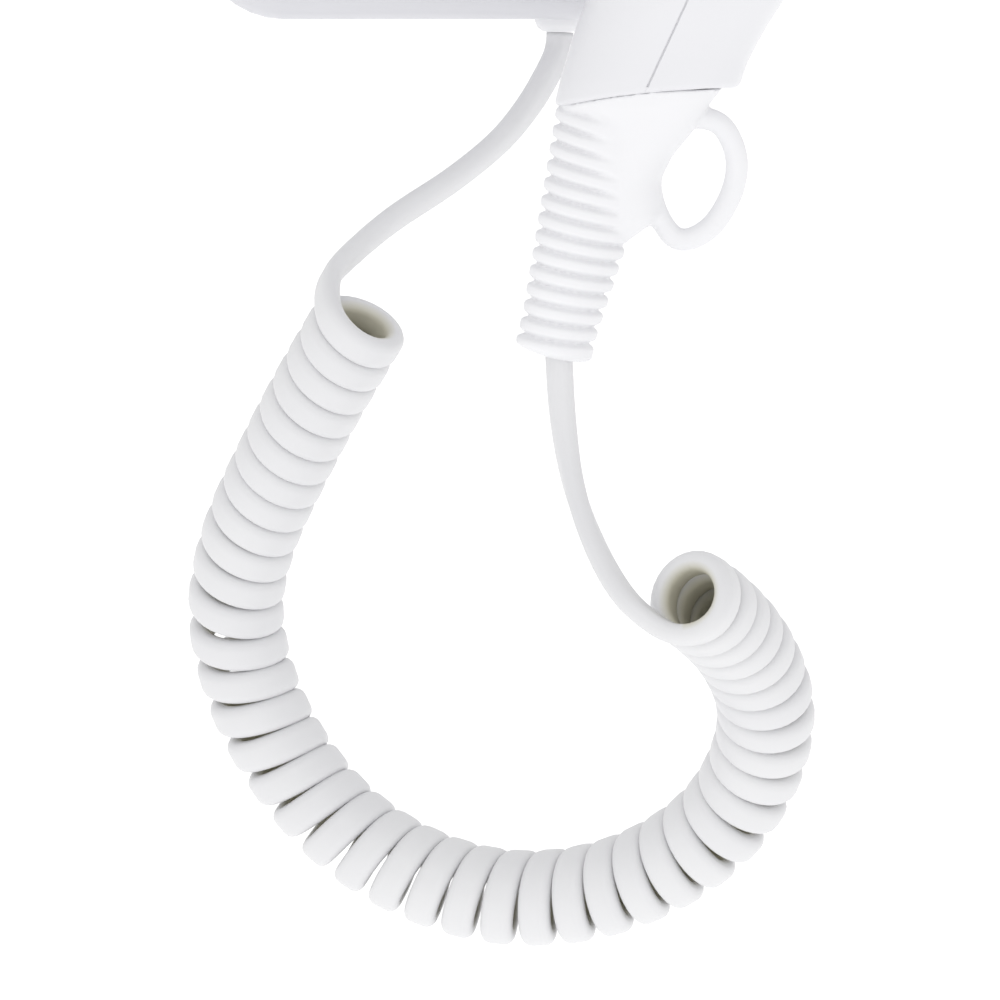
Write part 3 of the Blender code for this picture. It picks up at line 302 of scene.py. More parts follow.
def cord_mesh():
    line, wide, inner = cord_rows()
    t = tangents(line)
    flat = (CORD_W - CORD_T) / 2
    r = CORD_T / 2
    section = []
    steps = 8  # facets of each rounded edge
    for side in (1, -1):
        for k in range(steps + 1):
            a = math.radians(-90 + 180 * k / steps)
            section.append((side * (flat + r * math.cos(a)), side * r * math.sin(a)))
    n = len(section)
    points = []
    inside = []
    previous = None
    for i, p in enumerate(line):
        w = wide[i] - wide[i].dot(t[i]) * t[i]
        w.normalize()
        if previous is not None and previous.dot(w) < 0:
            w = -w
        previous = w
        thick = t[i].cross(w)
        for a, b in section:
            points.append(p + a * w + b * thick)
            inside.append((inner[i], b / r))
    faces = []
    for i in range(len(line) - 1):
        for k in range(n):
            m = (k + 1) % n
            faces.append((i * n + k, i * n + m, (i + 1) * n + m, (i + 1) * n + k))
    faces.append(tuple(range(n - 1, -1, -1)))
    faces.append(tuple((len(line) - 1) * n + k for k in range(n)))
    obj = mesh_object("curly_cord", points, faces)
    # painted shade: the 'inside' attribute is strongest on the side of each turn that faces into the coil
    painted_coil_shade = obj.data.attributes.new("inside", "FLOAT", "POINT")
    painted_coil_shade.data.foreach_set("value", [a * b for a, b in inside])
    return obj, line


cord, cord_line = cord_mesh()
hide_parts("cord_lead_base", "cord_coil", "cord_lead_handset")
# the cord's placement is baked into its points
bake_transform(cord)


# ======== materials =====================================================================================
def shader(name, color, roughness, metallic=0.0, coat=0.0, sheen=0.0, ior=1.46):
    m = bpy.data.materials.new(name)
    m.use_nodes = True
    tree = m.node_tree
    bsdf = tree.nodes["Principled BSDF"]
    bsdf.inputs["Base Color"].default_value = (*color, 1)
    bsdf.inputs["Roughness"].default_value = roughness
    bsdf.inputs["Metallic"].default_value = metallic
    bsdf.inputs["IOR"].default_value = ior
    bsdf.inputs["Coat Weight"].default_value = coat
    bsdf.inputs["Coat Roughness"].default_value = 0.2
    bsdf.inputs["Sheen Weight"].default_value = sheen
    return m, tree, bsdf


def noise(tree, scale, detail=3.0, rough=0.5, stretch=None):
    coords = tree.nodes.new("ShaderNodeTexCoord")
    node = tree.nodes.new("ShaderNodeTexNoise")
    node.inputs["Scale"].default_value = scale
    node.inputs["Detail"].default_value = detail
    node.inputs["Roughness"].default_value = rough
    if stretch is None:
        tree.links.new(coords.outputs["Object"], node.inputs["Vector"])
    else:
        mapping = tree.nodes.new("ShaderNodeMapping")
        mapping.inputs["Scale"].default_value = stretch
        tree.links.new(coords.outputs["Object"], mapping.inputs["Vector"])
        tree.links.new(mapping.outputs["Vector"], node.inputs["Vector"])
    return node


def spread(tree, source, low, high, from_low=0.3, from_high=0.7):
    node = tree.nodes.new("ShaderNodeMapRange")
    node.inputs["From Min"].default_value = from_low
    node.inputs["From Max"].default_value = from_high
    node.inputs["To Min"].default_value = low
    node.inputs["To Max"].default_value = high
    tree.links.new(source, node.inputs["Value"])
    return node


def mottle(tree, bsdf, source, a, b):
    mix = tree.nodes.new("ShaderNodeMix")
    mix.data_type = "RGBA"
    mix.inputs["A"].default_value = (*a, 1)
    mix.inputs["B"].default_value = (*b, 1)
    tree.links.new(source, mix.inputs["Factor"])
    tree.links.new(mix.outputs["Result"], bsdf.inputs["Base Color"])


def bump(tree, bsdf, source, strength, distance):
    node = tree.nodes.new("ShaderNodeBump")
    node.inputs["Strength"].default_value = strength
    node.inputs["Distance"].default_value = distance
    tree.links.new(source, node.inputs["Height"])
    tree.links.new(node.outputs["Normal"], bsdf.inputs["Normal"])


def plastic(name, color, roughness, grain=900.0, grain_strength=0.05, drift=0.02, coat=0.0, sheen=0.0):
    """Moulded plastic: a slow drift of colour, a fine spark-eroded grain and rubbed patches."""
    m, tree, bsdf = shader(name, color, roughness, coat=coat, sheen=sheen)
    slow = noise(tree, 28.0, 2.0)
    shift = spread(tree, slow.outputs["Fac"], 0.0, 1.0)
    dim = tuple(c * (1 - drift) for c in color)
    bright = tuple(min(c * (1 + drift * 0.5), 1.0) for c in color)
    mottle(tree, bsdf, shift.outputs["Result"], dim, bright)
    rub = noise(tree, 70.0, 4.0, 0.6)
    rough = spread(tree, rub.outputs["Fac"], roughness * 0.85, min(roughness * 1.2, 1.0))
    tree.links.new(rough.outputs["Result"], bsdf.inputs["Roughness"])
    fine = noise(tree, grain, 2.0, 0.5)
    bump(tree, bsdf, fine.outputs["Fac"], grain_strength, 0.0002)
    return m


def metal(name, color, roughness, stretch):
    """Drawn or turned metal: fine lines along one direction and a slight tarnish."""
    m, tree, bsdf = shader(name, color, roughness, metallic=1.0)
    lines = noise(tree, 60.0, 4.0, 0.6, stretch)
    rough = spread(tree, lines.outputs["Fac"], roughness * 0.7, roughness * 1.5)
    tree.links.new(rough.outputs["Result"], bsdf.inputs["Roughness"])
    bump(tree, bsdf, lines.outputs["Fac"], 0.10, 0.0001)
    tarnish = noise(tree, 120.0, 3.0)
    shift = spread(tree, tarnish.outputs["Fac"], 0.0, 1.0)
    mottle(tree, bsdf, shift.outputs["Result"], tuple(c * 0.86 for c in color), color)
    return m


WHITE = plastic("white_plastic", (0.755, 0.755, 0.778), 0.34, grain_strength=0.04, coat=0.08)
# the base's plastic is the handset's white made darker as painted shade for the shadowed base
SHADED_BASE_WHITE = plastic("base_plastic_painted_shade", (0.650, 0.650, 0.682), 0.38, grain_strength=0.05, coat=0.05)
BOOT_WHITE = plastic("boot_pvc", (0.82, 0.82, 0.838), 0.46, grain=700.0, grain_strength=0.05, sheen=0.05)
GREY = plastic("grey_plastic", (0.36, 0.37, 0.39), 0.50, grain=1200.0, grain_strength=0.16, drift=0.06)
PALE = plastic("pale_plastic", (0.70, 0.70, 0.66), 0.50, grain_strength=0.10)
PAD = plastic("pad_foam", (0.30, 0.31, 0.33), 0.85, grain=1600.0, grain_strength=0.5, drift=0.15)
DARK = plastic("dark_plastic", (0.035, 0.036, 0.040), 0.42, grain=1100.0, grain_strength=0.12, drift=0.2)
STEEL = metal("steel", (0.62, 0.62, 0.64), 0.26, (1.0, 1.0, 14.0))
WIRE = metal("resistance_wire", (0.50, 0.47, 0.44), 0.38, (14.0, 1.0, 1.0))
BRASS = metal("brass", (0.66, 0.48, 0.20), 0.30, (1.0, 14.0, 1.0))


def cord_material():
    """Smooth PVC sheath with painted shade that makes it yellower and darker on the side that faces into
    the coil.
    """
    m, tree, bsdf = shader("cord_pvc", (0.9, 0.9, 0.9), 0.40, coat=0.10)
    side = tree.nodes.new("ShaderNodeAttribute")
    side.attribute_type = "GEOMETRY"
    side.attribute_name = "inside"
    facing = spread(tree, side.outputs["Fac"], 0.0, 1.0, 0.15, 0.95)
    slow = noise(tree, 34.0, 2.0)
    shift = spread(tree, slow.outputs["Fac"], 0.0, 1.0)
    drift = tree.nodes.new("ShaderNodeMix")
    drift.data_type = "RGBA"
    drift.inputs["A"].default_value = (0.700, 0.700, 0.715, 1)
    drift.inputs["B"].default_value = (0.730, 0.730, 0.740, 1)
    tree.links.new(shift.outputs["Result"], drift.inputs["Factor"])
    # painted shade: an olive grey mixed in where the cord faces into the coil
    painted_coil_shade = tree.nodes.new("ShaderNodeMix")
    painted_coil_shade.data_type = "RGBA"
    painted_coil_shade.inputs["B"].default_value = (0.62, 0.60, 0.50, 1)
    tree.links.new(facing.outputs["Result"], painted_coil_shade.inputs["Factor"])
    tree.links.new(drift.outputs["Result"], painted_coil_shade.inputs["A"])
    tree.links.new(painted_coil_shade.outputs["Result"], bsdf.inputs["Base Color"])
    rub = noise(tree, 90.0, 4.0, 0.6)
    rough = spread(tree, rub.outputs["Fac"], 0.34, 0.48)
    tree.links.new(rough.outputs["Result"], bsdf.inputs["Roughness"])
    fine = noise(tree, 500.0, 2.0)
    bump(tree, bsdf, fine.outputs["Fac"], 0.03, 0.0002)
    return m


def mica_material():
    m, tree, bsdf = shader("mica", (0.6, 0.5, 0.3), 0.4, coat=0.3)
    flakes = tree.nodes.new("ShaderNodeTexVoronoi")
    flakes.inputs["Scale"].default_value = 420.0
    coords = tree.nodes.new("ShaderNodeTexCoord")
    tree.links.new(coords.outputs["Object"], flakes.inputs["Vector"])
    shift = spread(tree, flakes.outputs["Distance"], 0.0, 1.0, 0.1, 0.8)
    mottle(tree, bsdf, shift.outputs["Result"], (0.68, 0.58, 0.38), (0.50, 0.38, 0.20))
    bump(tree, bsdf, flakes.outputs["Distance"], 0.2, 0.0002)
    return m


def lens_material():
    m, tree, bsdf = shader("pilot_lens", (0.62, 0.07, 0.03), 0.12, coat=0.6, ior=1.5)
    rings = tree.nodes.new("ShaderNodeTexWave")
    rings.wave_type = "RINGS"
    rings.inputs["Scale"].default_value = 300.0
    coords = tree.nodes.new("ShaderNodeTexCoord")
    tree.links.new(coords.outputs["Object"], rings.inputs["Vector"])
    shift = spread(tree, rings.outputs["Fac"], 0.0, 1.0, 0.0, 1.0)
    mottle(tree, bsdf, shift.outputs["Result"], (0.55, 0.05, 0.02), (0.75, 0.12, 0.05))
    bump(tree, bsdf, rings.outputs["Fac"], 0.15, 0.0001)
    return m


def filter_material():
    """Woven wire cloth: two sets of fine threads at right angles."""
    m, tree, bsdf = shader("filter_cloth", (0.2, 0.2, 0.2), 0.5, metallic=0.6)
    coords = tree.nodes.new("ShaderNodeTexCoord")
    waves = []
    for direction in ("Y", "Z"):
        wave = tree.nodes.new("ShaderNodeTexWave")
        wave.wave_type = "BANDS"
        wave.bands_direction = direction
        wave.inputs["Scale"].default_value = 320.0
        tree.links.new(coords.outputs["Object"], wave.inputs["Vector"])
        waves.append(wave)
    both = tree.nodes.new("ShaderNodeMath")
    both.operation = "MAXIMUM"
    tree.links.new(waves[0].outputs["Fac"], both.inputs[0])
    tree.links.new(waves[1].outputs["Fac"], both.inputs[1])
    mottle(tree, bsdf, both.outputs["Value"], (0.015, 0.015, 0.016), (0.36, 0.36, 0.37))
    bump(tree, bsdf, both.outputs["Value"], 0.6, 0.0003)
    return m


CORD = cord_material()
MICA = mica_material()
LENS = lens_material()
FILTER = filter_material()


def finish_piece(obj, mat):
    obj.data.materials.clear()
    obj.data.materials.append(mat)


# ======== CAD nodes carried over ========================================================================
CARRIED = (
    (SHADED_BASE_WHITE, 0.0004, ("base_cover",)),
    (WHITE, 0.0004, ("holder", "inlet_cap", "rocker")),
    (BOOT_WHITE, 0.0002, ("base_gland",)),
    (GREY, 0.0003, ("wall_plate", "rocker_bezel", "outlet_grille", "inlet_grille", "fan")),
    (GREY, 0.0003, ("power_slider", "cool_button")),
    (PALE, 0.0002, ("terminal_block", "motor_mount")),
    (PAD, 0.0002, ("holder_pad_1", "holder_pad_2")),
    (DARK, 0.0003, ("rocker_switch_body", "slide_switch_body", "push_switch_body")),
    (DARK, 0.0003, ("motor_end_cap", "cord_clamp")),
    (STEEL, 0.0001, ("wall_screw_1", "wall_screw_2", "wall_screw_3", "wall_screw_4")),
    (STEEL, 0.0001, ("cover_screw_1", "cover_screw_2", "shell_screw_1", "shell_screw_2")),
    (STEEL, 0.0001, ("clamp_screw_1", "clamp_screw_2", "motor_can", "motor_shaft", "thermostat")),
    (BRASS, 0.0001, ("terminal_screw_1", "terminal_screw_2", "terminal_screw_3", "thermal_fuse")),
    (MICA, 0.0, ("mica_sheet_a", "mica_sheet_b", "heat_shield")),
    (WIRE, 0.0, ("heater_wire_front", "heater_wire_rear")),
    (LENS, 0.0001, ("pilot_lens",)),
    (FILTER, 0.0, ("filter_mesh",)),
)


def dress(node, mat, edge):
    """A CAD node's own shape with softened edges and smooth faces."""
    obj = NODES[node]
    obj.data.materials.clear()
    obj.data.materials.append(mat)
    obj.data.shade_smooth()
    weld = obj.modifiers.new("weld", "WELD")
    weld.merge_threshold = 0.00001
    if edge > 0:
        soft = obj.modifiers.new("edge", "BEVEL")
        soft.width = edge
        soft.segments = 2
        soft.limit_method = "ANGLE"
        soft.angle_limit = math.radians(35)
        soft.miter_outer = "MITER_ARC"
        soft.use_clamp_overlap = True
    even = obj.modifiers.new("even", "WEIGHTED_NORMAL")
    even.keep_sharp = True


for mat, edge, names in CARRIED:
    for node in names:
        dress(node, mat, edge)
finish_piece(cord, CORD)


# ======== solid tools ===================================================================================
def ring_solid(name, rings):
    """A closed solid through rings of equal point counts."""
    n = len(rings[0])
    points = [p for ring in rings for p in ring]
    faces = []
    for i in range(len(rings) - 1):
        for k in range(n):
            m = (k + 1) % n
            faces.append((i * n + k, i * n + m, (i + 1) * n + m, (i + 1) * n + k))
    faces.append(tuple(range(n - 1, -1, -1)))
    faces.append(tuple((len(rings) - 1) * n + k for k in range(n)))
    return outward(mesh_object(name, points, faces))


def turned_solid(name, profile, steps, matrix):
    """A profile of (radius, height) turned about local Z. Its two ends lie near the axis."""
    rings = []
    for r, z in profile:
        ring = []
        for k in range(steps):
            a = 2 * math.pi * k / steps
            ring.append(matrix @ Vector((r * math.cos(a), r * math.sin(a), z)))
        rings.append(ring)
    return ring_solid(name, rings)


def block(name, low, high, matrix):
    x0, y0, z0 = low
    x1, y1, z1 = high
    rings = [
        [matrix @ Vector(p) for p in ((x0, y0, z), (x1, y0, z), (x1, y1, z), (x0, y1, z))] for z in (z0, z1)
    ]
    return ring_solid(name, rings)


def applied(obj):
    """The evaluated shape becomes the object's own mesh."""
    bpy.context.view_layer.update()
    graph = bpy.context.evaluated_depsgraph_get()
    mesh = bpy.data.meshes.new_from_object(obj.evaluated_get(graph))
    obj.modifiers.clear()
    obj.data = mesh


def combine(obj, other, operation):
    """A boolean that uses up the other solid."""
    m = obj.modifiers.new(operation.lower(), "BOOLEAN")
    m.operation = operation
    m.object = other
    m.solver = "EXACT"
    applied(obj)
    bpy.data.objects.remove(other, do_unlink=True)


def along(start, direction):
    """Local +Z lies along a direction."""
    turn = Vector((0, 0, 1)).rotation_difference(Vector(direction).normalized())
    return Matrix.Translation(start) @ turn.to_matrix().to_4x4()


def squircle(half_a, half_b, steps, power):
    points = []
    for i in range(steps):
        a = 2 * math.pi * i / steps
        c = math.cos(a)
        s = math.sin(a)
        x = math.copysign(abs(c) ** (2 / power), c) * half_a
        y = math.copysign(abs(s) ** (2 / power), s) * half_b
        points.append((x, y))
    return points


def swept_loop(name, points, radius, count, sides):
    """A closed round band through the points."""
    n = len(points)
    p = [Vector(q) for q in points]
    fine = []
    for i in range(n):
        span = [p[(i + k) % n] for k in (-1, 0, 1, 2)]
        for k in range(count):
            fine.append(between(*span, k / count))
    m = len(fine)
    verts = []
    for i in range(m):
        t = (fine[(i + 1) % m] - fine[i - 1]).normalized()
        v = Vector((0, 1, 0))
        u = v.cross(t).normalized()
        for k in range(sides):
            a = 2 * math.pi * k / sides
            verts.append(fine[i] + radius * (math.cos(a) * u + math.sin(a) * v))
    faces = []
    for i in range(m):
        j = (i + 1) % m
        for k in range(sides):
            q = (k + 1) % sides
            faces.append((i * sides + k, i * sides + q, j * sides + q, j * sides + k))
    return outward(mesh_object(name, verts, faces))


# ======== boot with its ribs, fairing and hanging loop ==================================================
BOOT_TOP = Vector((0.0192, AXIS_Y, -0.1000))
BOOT_TIP = Vector((0.0084, AXIS_Y - 0.002, -0.1440))
BOOT_TOP_R = 0.0104
BOOT_TIP_R = 0.0074
BOOT_TAPER = 0.85  # share of the boot's length that tapers
RIB_PITCH = 0.00329  # straight up and down, at the boot's left side
RIB_FIRST = -0.0978
RIB_DEPTH = 0.0016
RIB_SHARP = 4  # how narrow the grooves are
RIB_SLOPE = 0.28  # the first rib runs down to the right
RIB_SLOPE_LOSS = 2.6  # and the ribs level out towards the tip, per metre
BOOT_LEFT = 0.0088  # the boot's left side at the first rib
BOOT_LEFT_LEAN = 0.171
RIB_COUNT = 13.1
RIB_FADE = 0.0075  # the ribs fade into the smooth side over this width
BOOT_ROOT = 0.0022  # how far the body starts above its top
BOOT_END = 0.0016  # rounding of the tip
HANDLE_BOTTOM = -0.0948
HANDLE_TILT = 0.105  # the handle's rim rises by this slope to the right
RIM_LIFT = 0.0017  # the handle's rim rises this much towards the room
RIM_HEIGHT = 0.006  # the head takes up the rim's shape over this height
COLLAR_X = 0.0248
COLLAR_R = 0.0073
COLLAR_FLANGE_R = 0.0093
BOOT_VOXEL = 0.00030
LOOP_BAND_R = 0.00215
LOOP_LINE = (
    (0.0352, -0.0989),
    (0.0403, -0.1004),
    (0.0431, -0.1064),
    (0.0422, -0.1132),
    (0.0381, -0.1197),
    (0.0325, -0.1219),
    (0.0286, -0.1175),
    (0.0270, -0.1107),
    (0.0293, -0.1047),
    (0.0316, -0.1013),
)
# the smooth head: height, left edge, right edge, half thickness
HEAD_ROWS = (
    (-0.09484, 0.0098, 0.0404, 0.0123),
    (-0.0960, 0.0101, 0.0394, 0.0121),
    (-0.0972, 0.0107, 0.0382, 0.0118),
    (-0.0988, 0.0118, 0.0369, 0.0111),
    (-0.1020, 0.0128, 0.0345, 0.0102),
    (-0.1060, 0.0128, 0.0312, 0.0096),
    (-0.1106, 0.0122, 0.0290, 0.0091),
    (-0.1140, 0.0118, 0.0294, 0.0084),
    (-0.1175, 0.0115, 0.0292, 0.0076),
    (-0.1200, 0.0112, 0.0258, 0.0071),
    (-0.1225, 0.0110, 0.0222, 0.0064),
    (-0.1245, 0.0110, 0.0200, 0.0056),
)


def fairing_edge(z):
    """Where the ribs fade into the smooth side, at a height."""
    top_z = -0.0965
    turn_z = -0.1205
    x = 0.0162 + (top_z - z) * 0.26
    if z < turn_z:
        x += (turn_z - z) * 3.5
    return x


def ribbed_body():
    """The boot's tapered body with its ribs, narrow grooves and rounded tip."""
    axis = BOOT_TIP - BOOT_TOP
    length = axis.length
    d = axis.normalized()
    right = Vector((0, 1, 0)).cross(d)
    right = (right if right.x > 0 else -right).normalized()
    front = d.cross(right)
    rings = []
    rows = 230
    sides = 120
    for i in range(rows + 1):
        s = -BOOT_ROOT + (length + BOOT_ROOT) * i / rows
        crest = BOOT_TIP_R + (BOOT_TOP_R - BOOT_TIP_R) * max(1 - max(s, 0) / length / BOOT_TAPER, 0)
        end = max(s - (length - BOOT_END), 0) / BOOT_END
        crest *= math.sqrt(max(1 - end * end * 0.9, 0.02))
        ring = []
        for k in range(sides):
            a = 2 * math.pi * k / sides
            way = math.cos(a) * right + math.sin(a) * front
            p = BOOT_TOP + d * s + way * crest
            below = RIB_FIRST - p.z
            slope = RIB_SLOPE - RIB_SLOPE_LOSS * below
            left_side = BOOT_LEFT - BOOT_LEFT_LEAN * below
            phase = (below - slope * (p.x - left_side)) / RIB_PITCH
            groove = ((1 + math.cos(2 * math.pi * (phase - 0.5))) / 2) ** RIB_SHARP
            fade = 1 - ease((p.x - fairing_edge(p.z) + RIB_FADE * 2 / 3) / RIB_FADE)
            if phase > RIB_COUNT:
                groove = 0.0
            ring.append(p - way * RIB_DEPTH * groove * fade)
        rings.append(ring)
    return ring_solid("boot_ribs", rings)


def fairing():
    """The smooth head that carries the loop. Its top follows the handle's rim."""
    rim_z = -0.0952
    rings = []
    for z, left, right, half_y in HEAD_ROWS:
        rim = 1 - ease((rim_z - z) / RIM_HEIGHT)
        power = 1.75 + 0.45 * rim
        ring = []
        for dx, dy in squircle((right - left) / 2, half_y, 96, power):
            lift = RIM_LIFT * max(-dy / half_y, 0) ** 2 * rim
            height = z + HANDLE_TILT * dx * rim + lift
            ring.append(Vector(((left + right) / 2 + dx, AXIS_Y + dy, height)))
        rings.append(ring)
    return ring_solid("boot_fairing", rings)


def relax(obj, rounds, chosen):
    """Smooths the points that are chosen."""
    bm = bmesh.new()
    bm.from_mesh(obj.data)
    verts = [v for v in bm.verts if chosen(v.co)]
    for _ in range(rounds):
        bmesh.ops.smooth_vert(
            bm, verts=verts, factor=0.5, use_axis_x=True, use_axis_y=True, use_axis_z=True
        )
    bm.to_mesh(obj.data)
    bm.free()


def on_smooth_side(p):
    """Whether a point is on the head, clear of the ribs, the rim and the loop."""
    clear = fairing_edge(p.z) + 0.002
    return -0.1265 < p.z < -0.0972 and clear < p.x < 0.0335


def build_boot():
    """Body, head, loop and the collar inside the handle, fused into one moulding."""
    boot = ribbed_body()
    boot.name = "ribbed_boot"
    collar = [
        (0.0004, -0.004),
        (COLLAR_R, -0.004),
        (COLLAR_R, 0.0040),
        (COLLAR_FLANGE_R, 0.0040),
        (COLLAR_FLANGE_R, 0.0056),
        (0.0004, 0.0056),
    ]
    loop_line = [(x, AXIS_Y, z) for x, z in LOOP_LINE]
    bodies = (
        fairing(),
        swept_loop("boot_loop", loop_line, LOOP_BAND_R, 9, 20),
        turned_solid("boot_collar", collar, 48, Matrix.Translation((COLLAR_X, AXIS_Y, HANDLE_BOTTOM))),
    )
    bm = bmesh.new()
    bm.from_mesh(boot.data)
    for other in bodies:
        bm.from_mesh(other.data)
        bpy.data.objects.remove(other, do_unlink=True)
    bm.to_mesh(boot.data)
    bm.free()
    grid = boot.modifiers.new("grid", "REMESH")
    grid.mode = "VOXEL"
    grid.voxel_size = BOOT_VOXEL
    applied(boot)
    relax(boot, 2, lambda p: True)
    relax(boot, 24, on_smooth_side)
    boot.data.shade_smooth()
    return boot


boot = build_boot()
finish_piece(boot, BOOT_WHITE)
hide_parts("cord_boot")
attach(boot, "handset")

# ======== handset shells ================================================================================
NOSE_X = -0.050
NOSE_R = 0.0250
STEP_X = NOSE_X + 0.048
BARREL_R = 0.0360
BARREL_TAIL_X = 0.108
TAIL_R = 0.0332
BARREL_LINE = (
    (NOSE_X, NOSE_R),
    (STEP_X - 0.004, NOSE_R),
    (STEP_X + 0.003, NOSE_R + 0.0004),
    (STEP_X + 0.012, NOSE_R + 0.0028),
    (STEP_X + 0.026, NOSE_R + 0.0068),
    (STEP_X + 0.046, BARREL_R - 0.0010),
    (STEP_X + 0.064, BARREL_R),
    (BARREL_TAIL_X - 0.024, BARREL_R),
    (BARREL_TAIL_X - 0.009, BARREL_R - 0.0012),
    (BARREL_TAIL_X, TAIL_R),
)
# the handle: middle X, height, half width along X, half depth along Y
HANDLE = (
    (0.0262, -0.0948, 0.0174, 0.0132),
    (0.0283, -0.0885, 0.0178, 0.0137),
    (0.0336, -0.0770, 0.0193, 0.0148),
    (0.0420, -0.0550, 0.0204, 0.0160),
    (0.0490, -0.0300, 0.0212, 0.0170),
    (0.0550, -0.0080, 0.0232, 0.0184),
    (0.0590, 0.0160, 0.0262, 0.0200),
)
HANDLE_TOP = 0.016  # inside the barrel
HANDLE_POWER = 2.5  # squareness of the handle's section
FILLET = 0.010  # between the handle and the barrel
SEAM_X = 0.0256
SEAM_Z = -0.093
SEAM_LEAN = math.radians(24.4)
SEAM_HALF_W = 0.00022
SEAM_DEPTH = 0.00035
SEAM_START = 0.0012  # the step stops this far above the rim
HALVES_APART = 0.00001
MOUTH_LIP = 0.0012
SLIDER_Z = -0.030
SLIDER_HALF_W = 0.0045
SLIDER_HALF_H = 0.009
BUTTON_Z = -0.058
BUTTON_HOLE_R = 0.0058
SCREW_HEIGHTS = (-0.070, -0.028)
SCREW_HOLE_R = 0.0016
SCREW_SEAT_R = 0.0030


def barrel_radius(x):
    if x <= BARREL_LINE[0][0]:
        return BARREL_LINE[0][1]
    for (x0, r0), (x1, r1) in zip(BARREL_LINE, BARREL_LINE[1:]):
        if x <= x1:
            return r0 + (r1 - r0) * (x - x0) / (x1 - x0)
    return BARREL_LINE[-1][1]


def handle_section(height, inset=0.0):
    """Middle X and the half sizes of the handle at a height."""
    rows = list(HANDLE)
    rows = [tuple(2 * a - b for a, b in zip(rows[0], rows[1]))] + rows
    rows = rows + [tuple(2 * a - b for a, b in zip(rows[-1], rows[-2]))]
    i = 1
    while i < len(rows) - 3 and height > rows[i + 1][1]:
        i += 1
    t = (height - rows[i][1]) / (rows[i + 1][1] - rows[i][1])
    out = []
    for k in (0, 2, 3):
        out.append(between(*(rows[j][k] for j in (i - 1, i, i + 1, i + 2)), t))
    return out[0], out[1] - inset, out[2] - inset


def barrel_solid(name, inset, ends, steps):
    """The barrel turned about its axis. A cutter is inset and runs out past both ends."""
    line = catmull([Vector((x, r, 0)) for x, r in BARREL_LINE], 5)
    profile = []
    for p in line:
        lip = max(MOUTH_LIP - (p.x - NOSE_X), 0) * 0.6
        profile.append((p.y - inset - (lip if ends == 0 else 0), p.x))
    profile[0] = (profile[0][0], profile[0][1] - ends)
    profile[-1] = (profile[-1][0], profile[-1][1] + ends)
    profile = [(0.0003, profile[0][1])] + profile + [(0.0003, profile[-1][1])]
    turn = Matrix.Translation((0, AXIS_Y, AXIS_Z)) @ Matrix.Rotation(math.radians(90), 4, "Y")
    return turned_solid(name, profile, steps, turn)


def blended(a, b, k):
    """The smaller of two distances, rounded where they meet."""
    h = max(k - abs(a - b), 0.0) / k
    return min(a, b) - h * h * k / 4


def flared(x, y, dx, dy, reach, z):
    """How far out along a level ray the handle's surface lies once it is blended into the barrel."""

    def outside(r):
        px = x + dx * r
        py = y + dy * r
        barrel = math.hypot(py - AXIS_Y, z - AXIS_Z) - barrel_radius(px)
        return blended(barrel, r - reach, FILLET)

    limit = reach + FILLET * 0.82
    r = reach
    while r < limit and outside(r) < 0:
        r += 0.0005
    if r >= limit:
        return limit
    low = max(r - 0.0005, reach)
    for _ in range(8):
        mid = (low + r) / 2
        if outside(mid) < 0:
            low = mid
        else:
            r = mid
    return r


def handle_solid(name, inset, blend_in, sides):
    """The handle's outside with its rounded rim, blended into the barrel, or the plain space inside."""
    bottom = HANDLE_BOTTOM + inset
    top = HANDLE_TOP - inset
    heights = []
    z = bottom
    if not inset:
        for rise, pull in ((0.0, 0.0010), (0.0001, 0.0006), (0.0003, 0.0003), (0.0007, 0.00008)):
            heights.append((bottom + rise, pull))
        z += 0.0012
    while z < top:
        heights.append((z, 0.0))
        z += 0.0007 if blend_in and z > -0.020 else 0.0035
    rings = []
    for z, pull in heights:
        x, half_x, half_y = handle_section(z, inset + pull)
        tilt = HANDLE_TILT * (1 - (z - bottom) / (top - bottom))
        ring = []
        for dx, dy in squircle(half_x, half_y, sides, HANDLE_POWER):
            if blend_in and z > -0.026:
                reach = math.hypot(dx, dy)
                out = flared(x, AXIS_Y, dx / reach, dy / reach, reach, z)
                dx, dy = dx * out / reach, dy * out / reach
            lift = 0.0
            if blend_in:
                lift = RIM_LIFT * max(-dy / half_y, 0) ** 2 * max(1 - (z - bottom) / 0.03, 0)
            rise = min(max(dx, -0.02), 0.02) * tilt + lift
            ring.append(Vector((x + dx, AXIS_Y + dy, z + rise)))
        rings.append(ring)
    return ring_solid(name, rings)


def control_frame(height):
    """A frame on the handle's front face: local X points out, local Z runs up the handle."""
    x0, a0, _ = handle_section(height - 0.004)
    x1, a1, _ = handle_section(height + 0.004)
    x, a, _ = handle_section(height)
    up = Vector(((x1 - a1) - (x0 - a0), 0, 0.008)).normalized()
    out = Vector((-up.z, 0, up.x))
    side = up.cross(out)
    m = Matrix((out, side, up)).transposed().to_4x4()
    return Matrix.Translation((x - a, AXIS_Y, height)) @ m


def seam_frame():
    """Local X runs across the seam, from the front half to the rear one, and local Z along it."""
    up = Vector((math.sin(SEAM_LEAN), 0, math.cos(SEAM_LEAN)))
    out = Vector((math.cos(SEAM_LEAN), 0, -math.sin(SEAM_LEAN)))
    seam = Matrix((out, Vector((0, 1, 0)), up)).transposed().to_4x4()
    return Matrix.Translation((SEAM_X, AXIS_Y, SEAM_Z)) @ seam


def seam_step(skin, seam):
    """A thin blade along the seam that reaches only a little way into the skin."""
    core = bpy.data.objects.new("core", skin)
    SCENE.collection.objects.link(core)
    for v in core.data.vertices:
        v.co = v.co - v.normal * SEAM_DEPTH
    step = block("step", (-SEAM_HALF_W, -0.1, SEAM_START), (SEAM_HALF_W, 0.1, 0.4), seam)
    combine(step, core, "DIFFERENCE")
    return step


